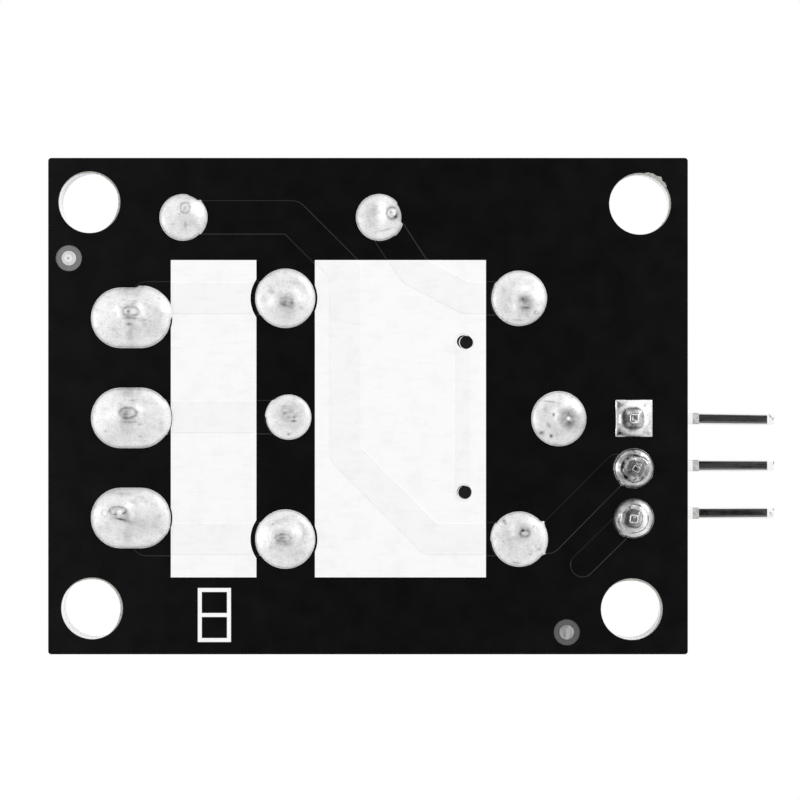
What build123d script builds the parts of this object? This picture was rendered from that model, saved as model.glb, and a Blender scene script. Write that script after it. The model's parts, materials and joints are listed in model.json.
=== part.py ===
from build123d import *
from math import atan2, degrees, hypot
import os

os.makedirs("parts", exist_ok=True)

# A relay module: a circuit board with a screw terminal block, a sealed relay, a diode,
# a few surface-mounted parts and a bent pin header. Millimetres. The components stand on
# the board in +Z, the header pins leave in +X and the wires enter from -X. The origin is
# the middle of the four mounting holes, on the solder side of the board.

# Board, laid out from left to right: margin, terminal block, gap, relay, gap, header, margin
board_left_margin = 0.38
terminal_gap = 1.4
header_gap = 0.18
board_right_margin = 1.47
board_width = 25.2
board_thickness = 1.6
board_corner = 0.16
board_middle = (0.25, 0.02)
hole_radius = 1.57
hole_inset_x = 2.395
hole_inset_y = 2.31
# How far each drilled hole lies off the even rectangle, in the order of hole_corners.
hole_corners = [(-1, -1), (1, -1), (-1, 1), (1, 1)]
hole_drift = [(-0.05, -0.04), (0.22, 0.04), (0.08, 0.0), (-0.2, 0.04)]

# Copper tracks under the mask, and the printed legend over it
track_relief = 0.035
track_slope = 50
power_track = 1.74
supply_track = 1.5
signal_track = 1.25
bridge_track = 0.91
power_track_start = 0.9
spine_step = 3.0
spine_cut = 4.35
diode_track_cut = 2.71
coil_track_run = 2.65
coil_track_foot = (1.76, 2.72)
supply_track_run = 1.45
supply_track_end = 0.82
signal_track_start = (0.54, 0.14)
signal_track_end = 0.2
top_pad_margin = 0.35
legend_thickness = 0.05
legend_line = 0.2

# Terminal block
ways = 3
terminal_pitch = 5.08
terminal_y = 0.38
terminal_depth = 7.6
terminal_end_wall = 0.25
terminal_front = 3.75
terminal_height = 10.0
terminal_shoulder = 6.6
terminal_step = 0.9
terminal_back_step = 1.2
housing_groove = 0.3
terminal_floor = 0.8
terminal_pin_radius = 0.5
terminal_pad_length = 4.06
terminal_pad_width = 3.07
terminal_pad_shift = (0.07, 0.24)
wire_entry_width = 3.2
wire_gap = 2.5
clamp_wall = 0.6
clamp_width = 4.1
clamp_depth = 4.0
clamp_travel = 1.9
clamp_play = 0.12
thread_radius = 1.25
thread_play = 0.04
screw_head_radius = 1.75
screw_head_height = 1.2
screw_head_recess = 0.2
screw_gap = 0.03
screw_chamfer = 0.15
screw_slot_width = 0.6
screw_slot_depth = 0.8
contact_thickness = 0.5
contact_width = 2.6
outer_bend_share = 0.8

# Relay
relay_y = 0.66
relay_length = 18.9
relay_width = 15.4
relay_height = 15.4
relay_wall = 0.8
relay_roof = 1.0
vent_radius = 0.6
vent_height = 0.25
vent_inset = 2.1
relay_edge = 0.7
relay_common_margin = 2.0
relay_coil_step = 2.15
relay_contact_margin = 2.7
relay_pin_margin = 1.7
relay_pad_outset = 0.11
contact_pad_shift = -0.03
coil_pad_shift = -0.22
common_pad_shift = -0.36
base_gap = 0.5
base_thickness = 1.2
base_play = 0.05
yoke_thickness = 1.2
yoke_width = 9.0
core_radius = 2.0
core_tenon_radius = 1.2
core_play = 0.05
pole_radius = 3.2
pole_thickness = 0.8
bobbin_wall = 0.6
bobbin_flange = 0.8
bobbin_height = 7.4
winding_radius = 4.6
pole_gap = 0.5
hinge_gap = 0.02
armature_thickness = 1.0
armature_width = 8.0
armature_overhang = 1.6
blade_thickness = 0.2
blade_width = 4.0
blade_margin = 0.2
rivet_radius = 0.6
rivet_height = 0.2
spring_low = 7.0
button_radius = 1.2
button_height = 0.3
button_gap = 0.02
strip_thickness = 0.3
strip_width = 1.0
contact_stroke = 0.8
coil_pin_radius = 0.3
coil_pin_margin = 0.3

# Header
header_y = 3.18
header_ways = 3
header_pitch = 2.54
header_height = 2.54
header_pin = 0.64
header_pin_rise = 1.1
header_pin_bend = 0.9
header_pin_point_share = 0.25
header_reach = 8.0
insulator_chamfer = 0.35

# Diode
diode_offset = 2.445
diode_gap = 1.17
diode_lead_spacing = 9.97
diode_body_length = 5.2
diode_body_radius = 1.35
diode_lead_radius = 0.39
diode_lead_bend = 0.7
diode_body_edge = 0.3
diode_lift = 0.1
diode_band_thickness = 0.03
diode_band_length = 0.9
diode_band_offset = 1.5

# Surface-mounted parts
chip_length = 2.0
chip_width = 1.25
chip_height = 0.5
chip_end = 0.4
chip_edge = 0.08
lamp_height = 0.75
lamp_margin = 3.0
lamp_resistor_step = 3.9
lamp_row_gap = 2.86
transistor_margin = 3.4
base_resistor_step = 4.3
transistor_row_gap = 2.24
transistor_length = 2.9
transistor_width = 1.3
transistor_height = 1.1
transistor_lift = 0.1
transistor_chamfer = 0.15
transistor_leg_width = 0.4
transistor_leg_reach = 0.55
transistor_leg_thickness = 0.15
transistor_leg_pitch = 1.9
solder_fillet = 0.35
solder_climb_share = 0.7

# Solder
pin_play = 0.08
pin_stub = 1.25
solder_dome = 0.5
solder_rim = 0.12
solder_slope = 45
solder_tip_height = 1.05
solder_tip_radius = 0.5
solder_tip_spread = 0.4
contact_pad_radius = 1.54
coil_pad_radius = 1.44
common_pad_radius = 1.43
diode_pad_radius = 1.22
link_pad_radius = 1.18
header_pad_radius = 1.05
header_square_pad = 1.93
link_offset = (0.13, -0.08)

# Vias, marks and legend fields on the solder side
via_radius = 0.325
via_pad_radius = 0.55
via_step = 3.06
via_offsets = (-3.91, 3.71)
covered_via_offset = (0.3, 2.23)
left_mark_inset = (1.05, 5.09)
right_mark_inset = (6.15, 1.12)
mark_opening_radius = 0.66
mark_dot_radius = 0.37
left_field_margins = (2.1, 1.51)
right_field_margins = (1.46, 1.91)
field_overhang = 0.35
field_clearance = 0.16
field_clearance_shift = -0.08
tick_box_gap = 0.1
tick_box_width = 1.68
tick_box_length = 2.74
tick_box_margin = 0.63
legend_margin = 0.7

# How far a cut runs past the face it opens
cut_past = 1

# Derived places
board_top = board_thickness
seat = board_top + track_relief
board_length = (
    board_left_margin + terminal_depth + terminal_gap + relay_length + header_gap + header_pitch
    + board_right_margin
)
board_left = board_middle[0] - board_length / 2
board_right = board_middle[0] + board_length / 2
board_low = board_middle[1] - board_width / 2
board_high = board_middle[1] + board_width / 2
block_left = board_left + board_left_margin
block_right = block_left + terminal_depth
terminal_x = block_left + terminal_front
relay_left = block_right + terminal_gap
relay_right = relay_left + relay_length
relay_front = relay_y - relay_width / 2
relay_rear = relay_y + relay_width / 2
relay_common_x = relay_right - relay_common_margin
header_x = relay_right + header_gap + header_pitch / 2
terminal_ys = [terminal_y + (i - (ways - 1) / 2) * terminal_pitch for i in range(ways)]
header_ys = [header_y + (i - (header_ways - 1) / 2) * header_pitch for i in range(header_ways)]
coil_x = relay_common_x - relay_coil_step
contact_x = relay_left + relay_contact_margin
relay_side = relay_width / 2 - relay_pin_margin
relay_pins = {
    "normally_open": (contact_x, relay_y - relay_side),
    "normally_closed": (contact_x, relay_y + relay_side),
    "coil_start": (coil_x, relay_y - relay_side),
    "coil_end": (coil_x, relay_y + relay_side),
    "common": (relay_common_x, relay_y),
}
diode_x = relay_left + diode_offset
diode_y = relay_front - diode_gap - diode_body_radius
diode_xs = [diode_x - diode_lead_spacing / 2, diode_x + diode_lead_spacing / 2]
lamp_x, lamp_y = relay_right - lamp_margin, relay_front - lamp_row_gap
lamp_resistor_x, lamp_resistor_y = lamp_x - lamp_resistor_step, lamp_y
transistor_x, transistor_y = relay_right - transistor_margin, relay_rear + transistor_row_gap
base_resistor_x, base_resistor_y = transistor_x - base_resistor_step, transistor_y
link_via_position = (contact_x + link_offset[0], relay_y + link_offset[1])
open_vias = [(coil_x - via_step, relay_y + shift) for shift in via_offsets]
covered_via = (relay_common_x + covered_via_offset[0], header_ys[-1] + covered_via_offset[1])
mark_positions = [
    (board_left + left_mark_inset[0], board_low + left_mark_inset[1]),
    (board_right - right_mark_inset[0], board_high - right_mark_inset[1]),
]
field_ends = (relay_front - field_overhang, relay_rear + field_overhang)
left_field = (terminal_x + left_field_margins[0], contact_x - left_field_margins[1], *field_ends)
right_field = (contact_x + right_field_margins[0], coil_x - right_field_margins[1], *field_ends)
tick_box = (
    relay_left - tick_box_gap - tick_box_width,
    relay_left - tick_box_gap,
    board_high - tick_box_margin - tick_box_length,
    board_high - tick_box_margin,
)

parts = {}


def block(x, y, z):
    """A box from its low and high limits along each axis."""
    middle = [(low + high) / 2 for low, high in (x, y, z)]
    size = [high - low for low, high in (x, y, z)]
    return Pos(*middle) * Box(*size)


def rod(x, y, z, radius):
    """An upright round bar between two heights."""
    return Pos(x, y, (z[0] + z[1]) / 2) * Cylinder(radius, z[1] - z[0])


def track(points, width):
    """The flat outline of a copper track with round ends and corners."""
    outline = Sketch()
    for (x0, y0), (x1, y1) in zip(points, points[1:]):
        turn = degrees(atan2(y1 - y0, x1 - x0))
        run = SlotCenterToCenter(hypot(x1 - x0, y1 - y0), width, rotation=turn)
        outline += Pos((x0 + x1) / 2, (y0 + y1) / 2) * run
    return outline


def together(shapes):
    """Separate solids kept in one node."""
    return Compound(children=[Solid(shape.solids()[0].wrapped) for shape in shapes])


# Pads, as flat outlines on the solder side
terminal_pad_centres = [
    (terminal_x + terminal_pad_shift[0], y + terminal_pad_shift[1]) for y in terminal_ys
]


def relay_pad(name, shift):
    """A relay pad's centre, drawn a little off the pin that it takes."""
    x, y = relay_pins[name]
    side = (y > relay_y) - (y < relay_y)
    return x + shift, y + side * relay_pad_outset


relay_pads = {
    "normally_open": (relay_pad("normally_open", contact_pad_shift), contact_pad_radius),
    "normally_closed": (relay_pad("normally_closed", contact_pad_shift), contact_pad_radius),
    "coil_start": (relay_pad("coil_start", coil_pad_shift), coil_pad_radius),
    "coil_end": (relay_pad("coil_end", coil_pad_shift), coil_pad_radius),
    "common": (relay_pad("common", common_pad_shift), common_pad_radius),
}
oval_pad = SlotOverall(terminal_pad_length, terminal_pad_width)
pad_outlines = [Pos(*centre) * oval_pad for centre in terminal_pad_centres]
pad_outlines += [Pos(*centre) * Circle(radius) for centre, radius in relay_pads.values()]
pad_outlines += [Pos(x, diode_y) * Circle(diode_pad_radius) for x in diode_xs]
pad_outlines += [Pos(*link_via_position) * Circle(link_pad_radius)]
pad_outlines += [Pos(header_x, header_ys[0]) * Rectangle(header_square_pad, header_square_pad)]
pad_outlines += [Pos(header_x, y) * Circle(header_pad_radius) for y in header_ys[1:]]

# Tracks on each side
upper_row = relay_pads["coil_start"][0][1]
lower_row = relay_pads["coil_end"][0][1]
coil_pad_x = relay_pads["coil_end"][0][0]
contact_pad_x = relay_pads["normally_open"][0][0]
spine_x = contact_x + spine_step
solder_side_tracks = [
    track([(terminal_x + power_track_start, upper_row), (contact_pad_x, upper_row)], power_track),
    track([(terminal_x, link_via_position[1]), link_via_position], power_track),
    track([(terminal_x + power_track_start, lower_row), (contact_pad_x, lower_row)], power_track),
    track(
        [
            (coil_pad_x, lower_row),
            (spine_x + spine_cut, lower_row),
            (spine_x, lower_row - spine_cut),
            (spine_x, diode_y + diode_track_cut),
            (spine_x - diode_track_cut, diode_y),
            (diode_xs[0], diode_y),
        ],
        power_track,
    ),
    track(
        [
            (coil_pad_x, upper_row),
            (coil_pad_x - coil_track_run, upper_row),
            (diode_xs[1] + coil_track_foot[0], diode_y + coil_track_foot[1]),
            (diode_xs[1], diode_y),
        ],
        power_track,
    ),
    track(
        [
            (coil_pad_x, lower_row),
            (coil_pad_x + supply_track_run, lower_row),
            (header_x - supply_track_end, header_ys[1]),
        ],
        supply_track,
    ),
    track(
        [
            (covered_via[0] + signal_track_start[0], covered_via[1] + signal_track_start[1]),
            (header_x - signal_track_end, header_ys[-1]),
        ],
        signal_track,
    ),
    track(open_vias, bridge_track),
]
lamp_end = lamp_x + chip_length / 2 + solder_fillet
component_side_tracks = [
    track([open_vias[0], (open_vias[0][0], lamp_y)], bridge_track),
    track([open_vias[1], (open_vias[1][0], base_resistor_y - chip_width)], bridge_track),
    track([covered_via, (covered_via[0], transistor_y - transistor_width)], bridge_track),
    track(
        [(header_x, header_ys[0]), (header_x, lamp_y + header_x - lamp_end), (lamp_end, lamp_y)],
        bridge_track,
    ),
]


def joined(outlines):
    """One outline from several that may overlap."""
    whole = outlines[0]
    for outline in outlines[1:]:
        whole += outline
    return whole


all_pads = joined(pad_outlines)
via_outline = joined([Pos(x, y) * Circle(via_radius) for x, y in open_vias])
via_pads = [Pos(x, y) * Circle(via_pad_radius) for x, y in open_vias]
solder_side_copper = joined(solder_side_tracks + via_pads)
solder_side_copper = solder_side_copper - all_pads - via_outline
mark_openings = joined([Pos(x, y) * Circle(mark_opening_radius) for x, y in mark_positions])

# Drilled holes: the lead's own reach, the pad's offset and a little play
drilled = {}
for index, centre in enumerate(terminal_pad_centres):
    drilled[f"terminal_{index + 1}"] = (centre, terminal_pin_radius + hypot(*terminal_pad_shift) + pin_play)
for name, (centre, _) in relay_pads.items():
    pin_x, pin_y = relay_pins[name]
    shift = hypot(centre[0] - pin_x, centre[1] - pin_y)
    lead = coil_pin_radius if name.startswith("coil") else hypot(strip_width, strip_thickness) / 2
    drilled[name] = (centre, lead + shift + pin_play)
for index, x in enumerate(diode_xs):
    drilled[f"diode_{index + 1}"] = ((x, diode_y), diode_lead_radius + pin_play)
for index, y in enumerate(header_ys):
    drilled[f"header_{index + 1}"] = ((header_x, y), header_pin / 2 * 2**0.5 + pin_play)

# Circuit board, with the tracks standing proud under its mask on both sides
plate = Pos(*board_middle) * RectangleRounded(board_length, board_width, board_corner)
board = extrude(plate, board_thickness)
board += extrude(solder_side_copper, -track_relief, taper=track_slope)
component_copper = joined(component_side_tracks)
top_pads = joined([Pos(*centre) * Circle(radius + top_pad_margin) for centre, radius in drilled.values()])
component_copper = component_copper - top_pads - via_outline
board += Pos(0, 0, board_top) * extrude(component_copper, track_relief, taper=track_slope)
board -= extrude(mark_openings, track_relief)
through_board = (-cut_past, board_top + cut_past)
for (side_x, side_y), (drift_x, drift_y) in zip(hole_corners, hole_drift):
    hole_x = side_x * (board_length / 2 - hole_inset_x) + drift_x
    hole_y = side_y * (board_width / 2 - hole_inset_y) + drift_y
    board -= rod(hole_x, hole_y, through_board, hole_radius)
for (x, y), radius in drilled.values():
    board -= rod(x, y, through_board, radius)
for x, y in open_vias:
    board -= rod(x, y, through_board, via_radius)
parts["circuit_board"] = board

# Fiducial marks: a bare ring in the mask around a tinned dot
dots = [rod(x, y, (0, track_relief), mark_dot_radius) for x, y in mark_positions]
parts["fiducial_dots"] = together(dots)


# Legend on the solder side, draped over the tracks
def field(limits):
    """A filled legend rectangle from its low and high limits."""
    x0, x1, y0, y1 = limits
    return Pos((x0 + x1) / 2, (y0 + y1) / 2) * Rectangle(x1 - x0, y1 - y0)


def outlined(limits, width):
    """The outline of a rectangle, drawn with a line of the given width."""
    x0, x1, y0, y1 = limits
    return field(limits) - field((x0 + width, x1 - width, y0 + width, y1 - width))


clear_of_pads = joined([
    Pos(field_clearance_shift, 0) * offset(outline, field_clearance) for outline in pad_outlines
])
fields = field(left_field) + field(right_field) - clear_of_pads - via_outline
over_copper = fields & solder_side_copper
solder_legend = extrude(fields, -legend_thickness)
solder_legend += extrude(over_copper, -legend_thickness - track_relief, taper=track_slope)
solder_legend -= extrude(solder_side_copper, -track_relief, taper=track_slope)
x0, x1, y0, y1 = tick_box
tick_middle = (y0 + y1) / 2
tick_bar = (x0, x1, tick_middle - legend_line / 2, tick_middle + legend_line / 2)
solder_legend += extrude(outlined(tick_box, legend_line) + field(tick_bar), -legend_thickness)
parts["solder_side_legend"] = together(solder_legend.solids())

# Terminal block: the screw bears on the fixed strip and draws the clamp up towards it
block_ends = (
    terminal_ys[0] - terminal_pitch / 2 - terminal_end_wall,
    terminal_ys[-1] + terminal_pitch / 2 + terminal_end_wall,
)
block_top = seat + terminal_height
shoulder = seat + terminal_shoulder
upper_back = block_right - terminal_back_step
housing_profile = Polyline(
    (block_left, seat),
    (block_left, shoulder),
    (block_left + terminal_step, shoulder + terminal_step),
    (block_left + terminal_step, block_top),
    (upper_back, block_top),
    (upper_back, shoulder + terminal_step),
    (block_right, shoulder + terminal_step - terminal_back_step),
    (block_right, seat),
    close=True,
)
housing = extrude(Plane.XZ * make_face(housing_profile), block_ends[0] - block_ends[1])
housing = Pos(0, block_ends[0], 0) * housing

strip_foot_low = seat + terminal_floor
clamp_low = strip_foot_low + contact_thickness + clamp_play
clamp_height = wire_gap + contact_thickness + clamp_play + 2 * clamp_wall
clamp_top = clamp_low + clamp_height
contact_top = clamp_top - clamp_wall - clamp_play
contact_low = contact_top - contact_thickness
cavity_top = clamp_top + clamp_travel + clamp_play
clamp_front = terminal_x - clamp_depth / 2
clamp_back = terminal_x + clamp_depth / 2
strip_back = clamp_back + clamp_play + contact_thickness
head_seat = block_top - screw_head_height - screw_head_recess


def spread(middle, width):
    """The low and high limits of a width about its middle."""
    return middle - width / 2, middle + width / 2


def contact_strip(y):
    """The fixed contact: a plate over the wire, bent down and under the clamp to its pin."""
    width = spread(y, contact_width)
    strip = block((clamp_front - clamp_play, strip_back), width, (contact_low, contact_top))
    strip += block((strip_back - contact_thickness, strip_back), width, (strip_foot_low, contact_top))
    foot = (terminal_x - contact_width / 2, strip_back)
    strip += block(foot, width, (strip_foot_low, strip_foot_low + contact_thickness))
    corners = strip.edges().filter_by(Axis.Y).group_by(Axis.X)[-1]
    strip = fillet(corners, contact_thickness * outer_bend_share)
    return strip + rod(terminal_x, y, (-pin_stub, strip_foot_low), terminal_pin_radius)


def rising_clamp(y):
    """The square cage that lifts the wire, tapped in its roof for the screw."""
    cage = block((clamp_front, clamp_back), spread(y, clamp_width), (clamp_low, clamp_top))
    cage = fillet(cage.edges().filter_by(Axis.X), clamp_wall * outer_bend_share)
    inside = block(
        (clamp_front - cut_past, clamp_back + cut_past),
        spread(y, clamp_width - 2 * clamp_wall),
        (clamp_low + clamp_wall, clamp_top - clamp_wall),
    )
    tapping = rod(terminal_x, y, (contact_low, clamp_top + cut_past), thread_radius + thread_play)
    return cage - inside - tapping


def clamp_screw(y):
    """The captive screw: slotted head above, tip just over the contact strip."""
    head_top = head_seat + screw_head_height
    head = rod(terminal_x, y, (head_seat + screw_gap, head_top), screw_head_radius)
    head = chamfer(head.edges().filter_by(GeomType.CIRCLE).group_by(Axis.Z)[-1], screw_chamfer)
    shank = rod(terminal_x, y, (contact_top + screw_gap, head_top - screw_slot_depth), thread_radius)
    shank = chamfer(shank.edges().filter_by(GeomType.CIRCLE).group_by(Axis.Z)[0], screw_chamfer)
    slot = block(
        spread(terminal_x, 2 * (screw_head_radius + cut_past)),
        spread(y, screw_slot_width),
        (head_top - screw_slot_depth, head_top + cut_past),
    )
    return head + shank - slot


def way_hollow(y):
    """Everything cut from the housing for one way."""
    cavity = spread(y, clamp_width + 2 * clamp_play)
    across = (clamp_front - clamp_play, clamp_back + clamp_play)
    hollow = block(across, cavity, (clamp_low - clamp_play, cavity_top))
    hollow += block(
        (terminal_x - contact_width / 2, strip_back), spread(y, contact_width), (strip_foot_low, contact_top)
    )
    entry_top = contact_low + contact_thickness / 2
    hollow += block(
        (block_left - cut_past, clamp_front),
        spread(y, wire_entry_width),
        (clamp_low + clamp_wall, entry_top),
    )
    hollow += rod(terminal_x, y, (cavity_top, block_top), thread_radius + clamp_play)
    hollow += rod(terminal_x, y, (head_seat, block_top + cut_past), screw_head_radius + clamp_play)
    return hollow


strips = {f"terminal_{number}": contact_strip(y) for number, y in enumerate(terminal_ys, 1)}
for y in terminal_ys:
    housing -= way_hollow(y)
for strip in strips.values():
    housing -= strip
for number in range(1, ways):
    groove_y = (terminal_ys[number - 1] + terminal_ys[number]) / 2
    housing -= block(
        (block_left - cut_past, block_left + housing_groove),
        spread(groove_y, housing_groove),
        (seat - cut_past, block_top + cut_past),
    )
parts["terminal_housing"] = housing
for number, y in enumerate(terminal_ys, 1):
    parts[f"clamp_screw_{number}"] = clamp_screw(y)
    parts[f"rising_clamp_{number}"] = rising_clamp(y)
    parts[f"contact_strip_{number}"] = strips[f"terminal_{number}"]

# Relay levels, from the board up
base_low = seat + base_gap
base_top = base_low + base_thickness
foot_top = base_top + yoke_thickness
pole_low = foot_top + bobbin_height
pole_top = pole_low + pole_thickness
yoke_top = pole_top + pole_gap
armature_top = yoke_top + armature_thickness
blade_top = armature_top + blade_thickness
closed_contact_low = blade_top + button_height + button_gap
open_contact_top = armature_top - button_height - contact_stroke

# Relay pieces
yoke_back = relay_common_x - strip_thickness / 2
yoke_front = yoke_back - yoke_thickness
flange_right = coil_x + coil_pin_radius + coil_pin_margin
flange_length = 2 * winding_radius + 2 * coil_pin_margin
core_x = flange_right - flange_length / 2
bobbin_hole = core_radius + core_play


def relay_cover():
    """The moulded case, open below, with rounded outer edges and the stub of its vent."""
    case = block((relay_left, relay_right), (relay_front, relay_rear), (seat, seat + relay_height))
    case = fillet(case.edges().filter_by(Axis.Z) + case.edges().group_by(Axis.Z)[-1], relay_edge)
    top = seat + relay_height
    case += rod(
        relay_left + vent_inset, relay_front + vent_inset, (top - relay_edge, top + vent_height), vent_radius
    )
    inside = block(
        (relay_left + relay_wall, relay_right - relay_wall),
        (relay_front + relay_wall, relay_rear - relay_wall),
        (seat - cut_past, top - relay_roof),
    )
    return case - inside


def contact_post(name, level, side):
    """A fixed contact: a pin that rises beside the coil and bends in to its button."""
    x, y = relay_pins[name]
    width = spread(x, strip_width)
    post = block(width, spread(y, strip_thickness), (-pin_stub, level))
    reach = sorted((y - side * strip_thickness / 2, relay_y + side * button_radius))
    return post + block(width, reach, (level - strip_thickness, level))


closed_level = closed_contact_low + button_height + strip_thickness
open_level = open_contact_top - button_height
closed_post = contact_post("normally_closed", closed_level, -1)
closed_post += rod(
    contact_x, relay_y, (closed_contact_low, closed_level - strip_thickness), button_radius
)
open_post = contact_post("normally_open", open_level, 1)
open_post += rod(contact_x, relay_y, (open_level, open_contact_top), button_radius)
coil_pins = {
    name: rod(*relay_pins[name], (-pin_stub, foot_top + bobbin_flange), coil_pin_radius)
    for name in ("coil_start", "coil_end")
}
common_across = spread(relay_common_x, strip_thickness)
common_post = block(common_across, spread(relay_y, strip_width), (-pin_stub, base_top))
common_post += block(common_across, spread(relay_y, blade_width), (base_top, spring_low))

base_plate = block(
    (relay_left + relay_wall + base_play, relay_right - relay_wall - base_play),
    (relay_front + relay_wall + base_play, relay_rear - relay_wall - base_play),
    (base_low, base_top),
)
for lead in (closed_post, open_post, common_post, *coil_pins.values()):
    base_plate -= lead

core = rod(core_x, relay_y, (base_top, foot_top), core_tenon_radius)
core += rod(core_x, relay_y, (foot_top, pole_low), core_radius)
core += rod(core_x, relay_y, (pole_low, pole_top), pole_radius)
yoke = block((core_x - 2 * core_radius, yoke_back), spread(relay_y, yoke_width), (base_top, foot_top))
yoke += block((yoke_front, yoke_back), spread(relay_y, yoke_width), (base_top, yoke_top - hinge_gap))
yoke = fillet(yoke.edges().filter_by(Axis.Y).group_by(Axis.X)[-1].sort_by(Axis.Z)[0], yoke_thickness / 2)
yoke -= rod(core_x, relay_y, (base_top - cut_past, foot_top + cut_past), core_tenon_radius)

bobbin = block(
    (flange_right - flange_length, flange_right),
    spread(relay_y, 2 * (relay_side + coil_pin_radius + coil_pin_margin)),
    (foot_top, foot_top + bobbin_flange),
)
bobbin += block(
    (flange_right - flange_length, flange_right),
    spread(relay_y, flange_length),
    (pole_low - bobbin_flange, pole_low),
)
bobbin += rod(core_x, relay_y, (foot_top, pole_low), bobbin_hole + bobbin_wall)
bobbin -= rod(core_x, relay_y, (foot_top - cut_past, pole_low + cut_past), bobbin_hole)
for pin in coil_pins.values():
    bobbin -= pin
winding = rod(core_x, relay_y, (foot_top + bobbin_flange, pole_low - bobbin_flange), winding_radius)
winding -= rod(core_x, relay_y, (foot_top, pole_low), bobbin_hole + bobbin_wall)

armature_left = core_x - pole_radius - armature_overhang
armature = block((armature_left, yoke_back), spread(relay_y, armature_width), (yoke_top, armature_top))
blade = block(
    (contact_x - button_radius - blade_margin, yoke_back),
    spread(relay_y, blade_width),
    (armature_top, blade_top),
)
blade += rod(contact_x, relay_y, (blade_top, blade_top + button_height), button_radius)
blade += rod(contact_x, relay_y, (armature_top - button_height, armature_top), button_radius)
for rivet_x in (armature_left + 2 * rivet_radius, core_x):
    blade += rod(rivet_x, relay_y, (blade_top, blade_top + rivet_height), rivet_radius)
hinge_spring = block(
    (yoke_back, yoke_back + blade_thickness), spread(relay_y, blade_width), (spring_low, yoke_top)
)

parts["relay_cover"] = relay_cover()
parts["relay_base"] = base_plate
parts["relay_yoke"] = yoke
parts["relay_core"] = core
parts["relay_bobbin"] = bobbin
parts["relay_winding"] = winding
parts["relay_armature"] = armature
parts["contact_blade"] = blade
parts["hinge_spring"] = hinge_spring
parts["normally_open_contact"] = open_post
parts["normally_closed_contact"] = closed_post
parts["common_pin"] = common_post
parts["coil_pin_1"] = coil_pins["coil_start"]
parts["coil_pin_2"] = coil_pins["coil_end"]

# Header: an insulator on the board, its pins bent over above it towards +X
run_height = seat + header_height + header_pin_rise


def header_pin_body(y):
    """One square pin, bent once, with both ends pointed."""
    path = FilletPolyline(
        (header_x, y, -pin_stub),
        (header_x, y, run_height),
        (header_x + header_reach, y, run_height),
        radius=header_pin_bend,
    )
    pin = sweep(Plane(path @ 0, z_dir=path % 0) * Rectangle(header_pin, header_pin), path)
    for end in (pin.faces().sort_by(Axis.Z)[0], pin.faces().sort_by(Axis.X)[-1]):
        pin = chamfer(end.edges(), header_pin * header_pin_point_share)
    return pin


header_pins = {f"header_{number}": header_pin_body(y) for number, y in enumerate(header_ys, 1)}
insulator = Part()
for y in header_ys:
    cell = block(spread(header_x, header_pitch), spread(y, header_pitch), (seat, seat + header_height))
    insulator += chamfer(cell.edges().filter_by(Axis.Z), insulator_chamfer)
for pin in header_pins.values():
    insulator -= pin
parts["header_insulator"] = insulator
for number, pin in enumerate(header_pins.values(), 1):
    parts[f"header_pin_{number}"] = pin

# Diode, lying on the board with its leads bent down through it
diode_z = seat + diode_body_radius + diode_lift
diode_ends = spread(diode_x, diode_body_length)


def along_x(x, y, z, radius):
    """A round bar along X between two places."""
    return Pos((x[0] + x[1]) / 2, y, z) * Rot(0, 90, 0) * Cylinder(radius, x[1] - x[0])


def diode_lead(end_x, hole_x):
    """One lead: out of the body and bent down through the board."""
    path = FilletPolyline(
        (end_x, diode_y, diode_z),
        (hole_x, diode_y, diode_z),
        (hole_x, diode_y, -pin_stub),
        radius=diode_lead_bend,
    )
    return sweep(Plane(path @ 0, z_dir=path % 0) * Circle(diode_lead_radius), path)


diode_body = along_x(diode_ends, diode_y, diode_z, diode_body_radius)
diode_body = chamfer(diode_body.edges().filter_by(GeomType.CIRCLE), diode_body_edge)
band_x = (diode_ends[0] + diode_band_offset, diode_ends[0] + diode_band_offset + diode_band_length)
band = along_x(band_x, diode_y, diode_z, diode_body_radius + diode_band_thickness)
band -= along_x(band_x, diode_y, diode_z, diode_body_radius)
diode_leads = {
    f"diode_{number}": diode_lead(end, hole)
    for number, (end, hole) in enumerate(zip(diode_ends, diode_xs), 1)
}
parts["diode_body"] = diode_body
parts["diode_band"] = band
parts["diode_lead_1"] = diode_leads["diode_1"]
parts["diode_lead_2"] = diode_leads["diode_2"]

# Surface-mounted parts
fillets = []


def solder_wedge(x, y, width, height, side):
    """A small wedge of solder at one end of a surface-mounted part."""
    wedge = Polyline((x, seat), (x + side * solder_fillet, seat), (x, seat + height), close=True)
    body = extrude(Plane.XZ * make_face(wedge), width / 2, both=True)
    return Pos(0, y, 0) * body


def chip(name, x, y, height):
    """A chip part along X: a body between two wrapped metal ends."""
    ends = spread(x, chip_length)
    inner = spread(x, chip_length - 2 * chip_end)
    width = spread(y, chip_width)
    parts[name] = block(inner, width, (seat, seat + height))
    caps = [block((ends[0], inner[0]), width, (seat, seat + height)),
            block((inner[1], ends[1]), width, (seat, seat + height))]
    caps = [fillet(cap.edges().filter_by(Axis.Y), chip_edge) for cap in caps]
    parts[f"{name}_ends"] = together(caps)
    for end, side in zip(ends, (-1, 1)):
        fillets.append(solder_wedge(end, y, chip_width, height * solder_climb_share, side))


chip("lamp", lamp_x, lamp_y, lamp_height)
chip("lamp_resistor", lamp_resistor_x, lamp_resistor_y, chip_height)
chip("base_resistor", base_resistor_x, base_resistor_y, chip_height)

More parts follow.
